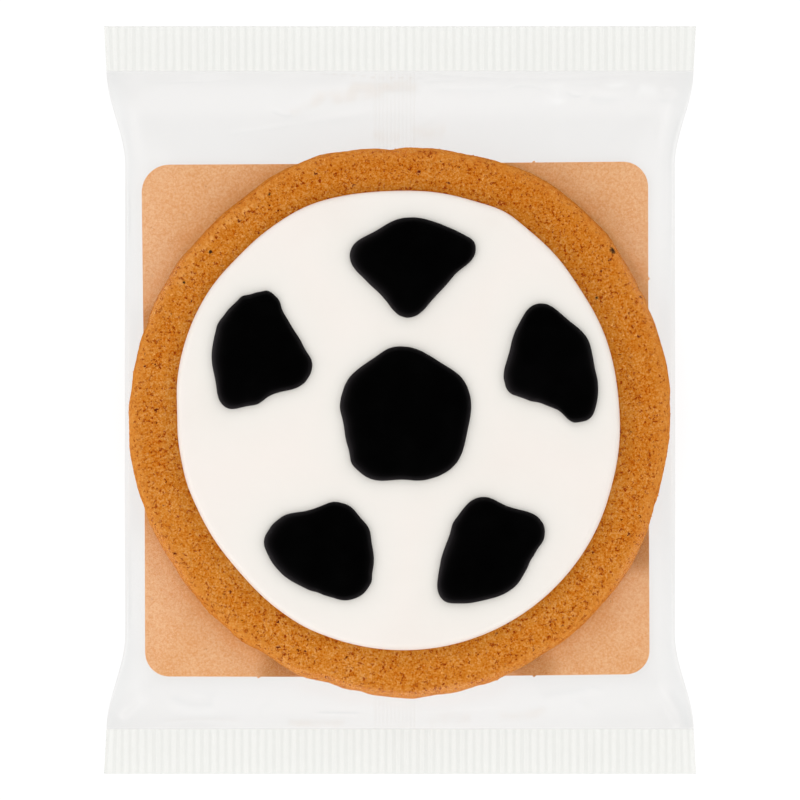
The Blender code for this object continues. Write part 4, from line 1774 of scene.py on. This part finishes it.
@dataclass
class FilmSleeve:
    """The clear tube that hugs the contents, as one bare layer of film all round."""

    body_width: float = 122.0
    seal_width: float = 130.2
    flare_start: float = 52.0
    seal_length: float = 10.0
    seal_height: float = 3.6
    seal_gap: float = 0.07
    side_round: float = 1.15
    fine_step: float = 0.36
    coarse_step: float = 1.3
    fine_from: float = 59.0
    column_step: float = 0.5
    corner_steps: int = 6
    clearance: float = 0.14
    plateau: float = 44.0
    rim_inset: float = 1.6
    rim_height: float = 7.66
    shoulder_band: Point = (46.0, 12.0)
    shoulder_height: float = 4.4
    shoulder_half: float = 3.15
    corner_height: float = 2.3
    corner_half: float = 1.0
    end_from: float = 58.0
    side_fold: float = 0.8
    side_fold_widths: Point = (1.7, 4.4)
    side_fold_flare: Point = (46.0, 66.0)
    side_fold_band: Point = (12.0, 30.0)
    round_fold: float = 0.32
    crease: float = 0.66
    slack_height: float = 0.09
    slack_size: float = 17.0
    slack_band: Point = (58.0, 64.0)
    floor_gap: float = 0.05
    floor_half: float = 53.0
    floor_end: float = 60.0
    fin_middle: float = -1.35
    fin_width: float = 9.5
    fin_band: Point = (9.0, 4.6)
    fin_lift: float = 0.27
    slack_end: float = 3.0
    wrinkle_end: float = 0.9
    outline: Outline = field(init=False)
    centre: Point = field(init=False)
    top_height: float = field(init=False)

    def half_width(self, y: Array) -> Array:
        """Half the pack's width at places along it."""
        flare = ease(np.abs(y), self.flare_start, self.seal_start)
        return mix(self.body_width / 2, self.seal_width / 2, flare)

    @property
    def seal_start(self) -> float:
        """Where the crimps begin, counted from the middle of the pack."""
        low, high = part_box("film_wrap")
        return (high.y - low.y) / 2 / MM - self.seal_length

    def side(self, y: Array) -> tuple[Array, Array]:
        """Middle height and half height of the rounded side at places along the pack.

        Args:
            y: Places along the pack.

        Returns:
            The height of the side's middle, and half its height.
        """
        near = ease(np.abs(y - self.centre[1]), *self.shoulder_band)
        ending = ease(np.abs(y), self.end_from, self.seal_start)
        middle = mix(self.corner_height, self.shoulder_height, near)
        half = mix(self.corner_half, self.shoulder_half, near)
        return mix(middle, self.seal_height, ending), mix(half, self.seal_gap, ending)

    def upper_height(self, x: Array, y: Array) -> Array:
        """Height of the taut upper film.

        It lies on the patches, runs down to the biscuit's edge, and from there straight on to
        the sides and the crimps.

        Args:
            x: Places across the pack.
            y: Places along the pack.

        Returns:
            Heights above the floor.
        """
        dx, dy = x - self.centre[0], y - self.centre[1]
        away = np.hypot(dx, dy) + 1e-6
        cos_b, sin_b = dx / away, dy / away
        to_end = (np.sign(dy) * self.seal_start - self.centre[1]) / np.where(
            np.abs(sin_b) < 1e-6, 1e-6, sin_b
        )
        to_side = np.full(x.shape, self.body_width / 2)
        for _ in range(4):
            edge = self.half_width(self.centre[1] + to_side * sin_b) - self.side_round
            reach = edge - np.sign(dx) * self.centre[0]
            to_side = reach / np.maximum(np.abs(cos_b), 1e-6)
            to_side = np.minimum(to_side, to_end)
        border = np.minimum(to_end, to_side)
        side_middle, side_half = self.side(self.centre[1] + border * sin_b)
        border_height = side_middle + side_half
        rim = self.outline.reach(np.arctan2(dy, dx)) - self.rim_inset
        outer = np.clip((away - rim) / np.maximum(border - rim, 1.0), 0, 1)
        inner = np.clip((away - self.plateau) / (rim - self.plateau), 0, 1)
        return np.where(
            away < rim,
            mix(self.top_height, self.rim_height, inner),
            mix(self.rim_height, border_height, outer),
        )

    def lower_height(self, x: Array, y: Array) -> Array:
        """Height of the lower film: flat on the floor, lifted by the fin and at the edges.

        Args:
            x: Places across the pack.
            y: Places along the pack.

        Returns:
            Heights above the floor.
        """
        flat = self.floor_gap + self.fin_lift * ease(np.abs(x - self.fin_middle), *self.fin_band)
        side_middle, side_half = self.side(y)
        to_side = ease(np.abs(x), self.floor_half, self.half_width(y) - self.side_round)
        rising = ease(np.abs(y), self.floor_end, self.seal_start)
        end_height = self.seal_height - self.seal_gap
        return mix(mix(flat, side_middle - side_half, to_side**1.5), end_height, rising)

    def dress_top(self, x: Array, y: Array, height: Array) -> tuple[Array, Array, Array]:
        """Adds slack and wrinkles to the upper film.

        Args:
            x: Places across the pack.
            y: Places along the pack.
            height: Heights of the taut film.

        Returns:
            The new heights, each point's fold_shading (painted shade above 0, painted highlight
            below 0), and how warm it looks.
        """
        to_edge = self.half_width(y) - np.abs(x)
        apart = ease(np.abs(y - self.centre[1]), *self.side_fold_band)
        flare = ease(np.abs(y), *self.side_fold_flare)
        fold_shading = self.side_fold * apart * np.exp(-to_edge / mix(*self.side_fold_widths, flare))
        glow = np.zeros(height.shape)
        loose = ease(np.hypot(x - self.centre[0], y - self.centre[1]), *self.slack_band)
        slack = loose * ease(np.abs(y), self.seal_start, self.seal_start - self.slack_end)
        height = height + slack * self.slack_height * wavy(x, y * 0.6, self.slack_size, seed=8)
        inside = ease(np.abs(y), self.seal_start, self.seal_start - self.wrinkle_end)
        for wrinkle in WRINKLES + crimp_marks():
            shape = wrinkle.shape(x, y)
            height += wrinkle.height * shape * inside
            fold_shading += self.crease * wrinkle.fold_shading * shape
            glow += wrinkle.glow * shape
        return height, fold_shading, glow

    def build(self, frame: dict, material: bpy.types.Material) -> bpy.types.Object:
        """Makes the sleeve.

        Args:
            frame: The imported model.
            material: The film's finish.

        Returns:
            The piece.
        """
        outline = Outline.of_node(frame["nodes"]["gingerbread"], softness=8.0)
        self.outline = outline.swelled(BISCUIT_SWELLS)
        self.centre = self.outline.middle
        self.top_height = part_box("black_patch_centre")[1].z / MM + self.clearance
        fine = np.arange(self.seal_start, self.fine_from, -self.fine_step)
        coarse_rows = int(2 * self.fine_from / self.coarse_step)
        coarse = np.linspace(-self.fine_from, self.fine_from, coarse_rows)
        y = np.concatenate([-fine, coarse, fine[::-1]])[:, None]
        half = self.half_width(y)
        side_middle, side_half = self.side(y)
        top_count = 2 * int(self.body_width / 2 / self.column_step) + 1
        low_count = top_count // 2
        corner = np.linspace(math.pi / 2, 0, self.corner_steps + 1)[1:]

        def flat_part(count: int) -> Array:
            """Places across the pack between the rounded sides, from right to left."""
            return np.linspace(1, -1, count) * (half - self.side_round)

        def rounded(turns: Array, sign: int) -> tuple[Array, Array]:
            """Places and heights round one side, for turns counted up from its middle."""
            x = sign * (half - self.side_round * (1 - np.cos(turns)))
            return x, side_middle + side_half * np.sin(turns)

        top_x = flat_part(top_count)
        top_y = y * np.ones(top_count)
        top_z, fold_shading, glow = self.dress_top(top_x, top_y, self.upper_height(top_x, top_y))
        low_x = flat_part(low_count)[:, ::-1]
        parts = (
            (top_x, top_z),
            rounded(corner, -1),
            rounded(-corner[:-1][::-1], -1),
            (low_x, self.lower_height(low_x, y * np.ones(low_count))),
            rounded(-corner[:-1], 1),
            rounded(corner[::-1], 1),
        )
        x, z = (np.concatenate(part, axis=1) for part in zip(*parts))
        rows, columns = x.shape
        points = np.stack([x.ravel(), (y * np.ones(columns)).ravel(), z.ravel()], axis=1)
        faces = grid_faces(rows, columns, closed=True)[:, ::-1]
        obj = piece_from_arrays("film_sleeve", points, faces)
        beside = (columns - top_count - low_count) // 2
        sides = self.round_fold * ease(np.abs(y - self.centre[1]), *self.side_fold_band)
        for name, upper, at_sides in (("fold_shading", fold_shading, sides), ("glow", glow, 0.0)):
            values = np.zeros((rows, columns))
            values[:, :top_count] = upper
            values[:, top_count : top_count + beside] = at_sides
            values[:, columns - beside :] = at_sides
            set_point_values(obj, name, values)
        obj.data.materials.append(material)
        return obj


BAND_LENGTHS = (
    *("Start", "Length", "Near Width", "Far Width", "Height"),
    *("Rib Depth", "Half Thickness", "Middle", "Run In"),
)
RIB_COLUMNS = 12.0
BAND_ROWS = 18
PINCHED_FROM = 0.46
DOUBLE_FROM = 0.72
DOUBLE_HEIGHT = 0.45


@dataclass
class RibbedStrip:
    """A narrow band of two film layers pressed together with fine ribs along the pack."""

    name: str
    start: float
    length: float
    near_width: float
    far_width: float
    height: float
    ribs: int
    rib_depth: float
    half_thickness: float
    seed: int
    turned: bool = False
    two_layers: bool = True
    middle: float = 0.0
    run_in: float = 0.6
    uneven: float = 0.5

    @staticmethod
    def tree() -> bpy.types.NodeTree:
        """Geometry nodes that make a ribbed band as a thin closed slab.

        Returns:
            The tree, with its sizes in metres.
        """
        found = bpy.data.node_groups.get("ribbed film band")
        if found:
            return found
        wiring = Wiring.on_geometry(
            "ribbed film band",
            Float=(*BAND_LENGTHS, "Unevenness", "Turn"),
            Bool=("Two Layers",),
            Int=("Ribs", "Seed"),
        )
        given = wiring.given()
        grid = wiring.output(
            "GeometryNodeMeshGrid",
            {
                "Size X": 1.0,
                "Size Y": 1.0,
                "Vertices X": wiring.math("MULTIPLY_ADD", given["Ribs"], RIB_COLUMNS, 1.0),
                "Vertices Y": BAND_ROWS,
            },
        )
        position = wiring.output("GeometryNodeInputPosition")
        spot = wiring.node("ShaderNodeSeparateXYZ", {0: position}).outputs
        along = wiring.math("ADD", spot[1], 0.5)
        narrowing = wiring.math("SUBTRACT", given["Far Width"], given["Near Width"])
        pinch = wiring.times(narrowing, wiring.math("SUBTRACT", 1.0, along))
        near_end = wiring.ramp(wiring.math("ABSOLUTE", spot[0]), PINCHED_FROM, 0.5, 0.0, -0.5)
        pinch = wiring.times(wiring.times(pinch, near_end), wiring.math("SIGN", spot[0]))
        straight = wiring.math("MULTIPLY_ADD", spot[0], given["Far Width"], given["Middle"])
        x = wiring.math("ADD", straight, pinch)
        y = wiring.math("MULTIPLY_ADD", given["Length"], along, given["Start"])
        turns = wiring.times(wiring.math("ADD", spot[0], 0.5), given["Ribs"])
        rib = wiring.math("FLOOR", turns)
        inside = wiring.math("SUBTRACT", turns, rib)
        rib_seed = wiring.math("ADD", rib, given["Seed"])
        luck = wiring.node("ShaderNodeTexWhiteNoise", {"W": rib_seed}, noise_dimensions="1D")
        chance = luck.outputs["Value"]
        strength = wiring.math("SUBTRACT", 1.0, wiring.times(chance, given["Unevenness"]))
        wave = wiring.math("SINE", wiring.times(inside, math.tau))
        second = wiring.math("SINE", wiring.times(inside, 3 * math.tau))
        double = wiring.times(wiring.math("GREATER_THAN", chance, DOUBLE_FROM), DOUBLE_HEIGHT)
        shaped = wiring.math("MULTIPLY_ADD", second, double, wiring.times(wave, strength))
        running = wiring.ramp(wiring.times(along, given["Length"]), 0.0, given["Run In"])
        relief = wiring.times(shaped, wiring.times(running, given["Rib Depth"]))
        face = wiring.math("ADD", given["Height"], given["Half Thickness"])
        place = wiring.point(x, y, wiring.math("ADD", face, relief))
        # Painted shade of the ribs: the film is dimmed in the valleys and left clear on the ridges.
        marked = wiring.store(grid, "fold_shading", wiring.math("MULTIPLY_ADD", shaped, -0.5, 0.5))
        inputs = {"Geometry": marked, "Position": place}
        upper = wiring.output("GeometryNodeSetPosition", inputs)
        down = wiring.point(z=wiring.times(given["Half Thickness"], -2.0))
        walls = wiring.output(
            "GeometryNodeExtrudeMesh",
            {"Mesh": upper, "Offset": down, "Offset Scale": 1.0, "Individual": False},
            mode="FACES",
        )
        joined = wiring.node("GeometryNodeJoinGeometry")
        for part in (walls, wiring.output("GeometryNodeFlipFaces", {0: upper})):
            wiring.feed(joined.inputs[0], part)
        inputs = {0: joined.outputs[0], "Distance": 0.001 * MM}
        welded = wiring.output("GeometryNodeMergeByDistance", inputs)
        outward = wiring.output("GeometryNodeFlipFaces", {0: welded})
        inputs = {"Switch": given["Two Layers"], "False": upper, "True": outward}
        band = wiring.output("GeometryNodeSwitch", inputs, input_type="GEOMETRY")
        inputs = {"Geometry": band, "Rotation": wiring.point(z=given["Turn"])}
        return wiring.finish(wiring.output("GeometryNodeTransform", inputs), given["Material"])

    def build(self, material: bpy.types.Material) -> bpy.types.Object:
        """Makes the band.

        Args:
            material: The film's finish.

        Returns:
            The piece.
        """
        obj = add_object(self.name, bpy.data.meshes.new(self.name))
        values = lengths_of(self, BAND_LENGTHS) | {
            "Unevenness": self.uneven,
            "Turn": math.pi if self.turned else 0.0,
            "Two Layers": self.two_layers,
            "Ribs": self.ribs,
            "Seed": self.seed,
            "Material": material,
        }
        run_nodes(obj, self.tree(), values)
        obj.data.shade_smooth()
        return obj


# ------------------------------------------------------------------------------ studio


@dataclass(frozen=True)
class Softbox:
    """A large soft lamp aimed at the pack."""

    name: str
    place: Spot
    width: float
    height: float
    power: float

    def build(self) -> None:
        """Hangs the lamp."""
        data = bpy.data.lights.new(self.name, "AREA")
        data.shape = "RECTANGLE"
        data.size = self.width
        data.size_y = self.height
        data.energy = self.power
        lamp = add_object(self.name, data)
        lamp.location = self.place
        lamp.rotation_euler = (-Vector(self.place)).to_track_quat("-Z", "Y").to_euler()
        lamp.visible_camera = False


@dataclass
class Studio:
    """Pale floor, soft lamps all round, a dark ceiling and the camera straight above."""

    floor_half: float = 3.0
    floor_drop: float = 0.05
    floor_white: float = 0.15
    floor_glow: float = 0.85
    camera_height: float = 1.6
    picture_width: float = 177.4
    sensor: float = 36.0
    focus_height: float = 3.6
    surround: float = 1.24
    ceiling: float = 0.01
    darkening: Point = (0.5, 0.9)
    softboxes: tuple[Softbox, ...] = (
        Softbox("left softbox", (-0.95, -0.1, 0.8), 1.5, 1.0, 7.0),
        Softbox("right softbox", (0.95, 0.0, 0.8), 1.5, 1.0, 4.9),
        Softbox("front softbox", (0.0, -0.95, 0.8), 1.5, 1.0, 6.4),
        Softbox("back softbox", (0.0, 0.95, 0.8), 1.5, 1.0, 4.7),
    )

    def build(self) -> None:
        """Builds floor, surround, lamps and camera."""
        self.build_floor()
        self.build_surround()
        for softbox in self.softboxes:
            softbox.build()
        self.build_camera()
        bpy.context.scene.view_settings.view_transform = "Standard"

    def build_floor(self) -> None:
        """Lays the pale floor just under the pack."""
        mesh = bmesh.new()
        bmesh.ops.create_grid(mesh, x_segments=8, y_segments=8, size=self.floor_half)
        bmesh.ops.translate(mesh, verts=mesh.verts, vec=(0, 0, -self.floor_drop * MM))
        data = bpy.data.meshes.new("floor")
        mesh.to_mesh(data)
        mesh.free()
        material, wiring, shader = new_material("pale floor")
        noise = wiring.output("ShaderNodeTexNoise", {"Vector": wiring.place(), "Scale": 6.0})
        white = self.floor_white
        dressing = {
            "Base Color": wiring.blend(noise, (white,) * 3, (white * 0.985,) * 3),
            "Roughness": 0.9,
            "Specular IOR Level": 0.1,
            "Emission Color": opaque((1.0, 1.0, 1.0)),
            "Emission Strength": self.floor_glow,
        }
        wiring.fill(shader, dressing)
        data.materials.append(material)
        add_object("floor", data)

    def build_surround(self) -> None:
        """Sets a pale surround at eye height that darkens towards the ceiling."""
        world = bpy.data.worlds.new("surround")
        world.use_nodes = True
        bpy.context.scene.world = world
        wiring = Wiring(world.node_tree)
        direction = wiring.node("ShaderNodeTexCoord").outputs["Generated"]
        rise = wiring.node("ShaderNodeSeparateXYZ", {0: direction}).outputs[2]
        level = wiring.ramp(rise, *self.darkening, self.surround, self.ceiling)
        background = world.node_tree.nodes["Background"]
        wiring.fill(background, {"Strength": level, "Color": opaque((1.0, 1.0, 1.0))})

    def build_camera(self) -> None:
        """Hangs the camera straight above the pack, with the picture's width on it."""
        data = bpy.data.cameras.new("camera")
        data.sensor_width = self.sensor
        distance = self.camera_height - self.focus_height * MM
        data.lens = self.sensor * distance / (self.picture_width * MM)
        data.clip_end = 20.0
        camera = add_object("camera", data)
        camera.location = (0.0, 0.0, self.camera_height)
        bpy.context.scene.camera = camera


# ------------------------------------------------------------------------------ the pack


class GingerbreadPack:
    """The whole pack: contents, sleeve, crimps and back seam."""

    def __init__(self, frame: dict) -> None:
        """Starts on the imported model.
        """
        self.frame = frame
        self.effects = Effects()

    def keep(self, piece: bpy.types.Object, slot: str, *nodes: str) -> None:
        """Fixes a finished piece to the pack.

        Args:
            piece: The piece.
            slot: A material slot of the record; not used.
            *nodes: The CAD nodes that it stands for.
        """
        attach(piece, BODY)
        if nodes:
            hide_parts(*nodes)
        LOG.info("%s: %d points", piece.name, len(piece.data.vertices))

    def build_contents(self) -> None:
        """Makes the card, the biscuit, its crumbs and the icing."""
        card = BackingCard().build(self.frame, KraftFinish().build(self.effects))
        self.keep(card, "card", "backing_card")
        crust = GingerbreadFinish().build(self.effects)
        biscuit = Gingerbread().build(self.frame, crust)
        self.keep(biscuit, "biscuit", "gingerbread")
        self.keep(Crumbs().build(biscuit, crust), "biscuit")
        white = WhiteIcing().build(self.frame, WHITE_ICING.build(self.effects))
        self.keep(white, "white_icing", "white_icing")
        black = BLACK_ICING.build(self.effects)
        for patch in Patch:
            piece = BlackPatch(patch).build(self.frame, black)
            self.keep(piece, "black_icing", patch.node)

    def build_film(self) -> None:
        """Makes the sleeve, its two crimps and the seam on its back."""
        sleeve = FilmSleeve()
        clear = CLEAR_FILM.build(self.effects)
        self.keep(sleeve.build(self.frame, clear), "film", "film_wrap")
        crimped = CRIMPED_FILM.build(self.effects)
        low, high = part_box("film_wrap")
        for name, turned, seed in (("top_crimp", False, 3), ("bottom_crimp", True, 41)):
            crimp = RibbedStrip(
                name=name,
                start=sleeve.seal_start,
                length=sleeve.seal_length,
                near_width=sleeve.seal_width,
                far_width=(high.x - low.x) / MM,
                height=sleeve.seal_height,
                ribs=74,
                rib_depth=0.2,
                half_thickness=sleeve.seal_gap,
                seed=seed,
                turned=turned,
            )
            self.keep(crimp.build(crimped), "film", "film_wrap")
        fin = RibbedStrip(
            name="back_seam",
            start=-sleeve.seal_start,
            length=2 * sleeve.seal_start,
            near_width=sleeve.fin_width,
            far_width=sleeve.fin_width,
            height=0.12,
            ribs=11,
            rib_depth=0.05,
            half_thickness=0.0,
            seed=17,
            two_layers=False,
            middle=sleeve.fin_middle,
            run_in=0.1,
        )
        self.keep(fin.build(SEAM_FILM.build(self.effects)), "film", "film_wrap")


def main() -> None:
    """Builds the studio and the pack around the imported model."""
    logging.basicConfig(level=logging.INFO, format="%(name)s: %(message)s")
    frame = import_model()
    Studio().build()
    pack = GingerbreadPack(frame)
    pack.build_contents()
    pack.build_film()


if __name__ == "__main__":
    main()
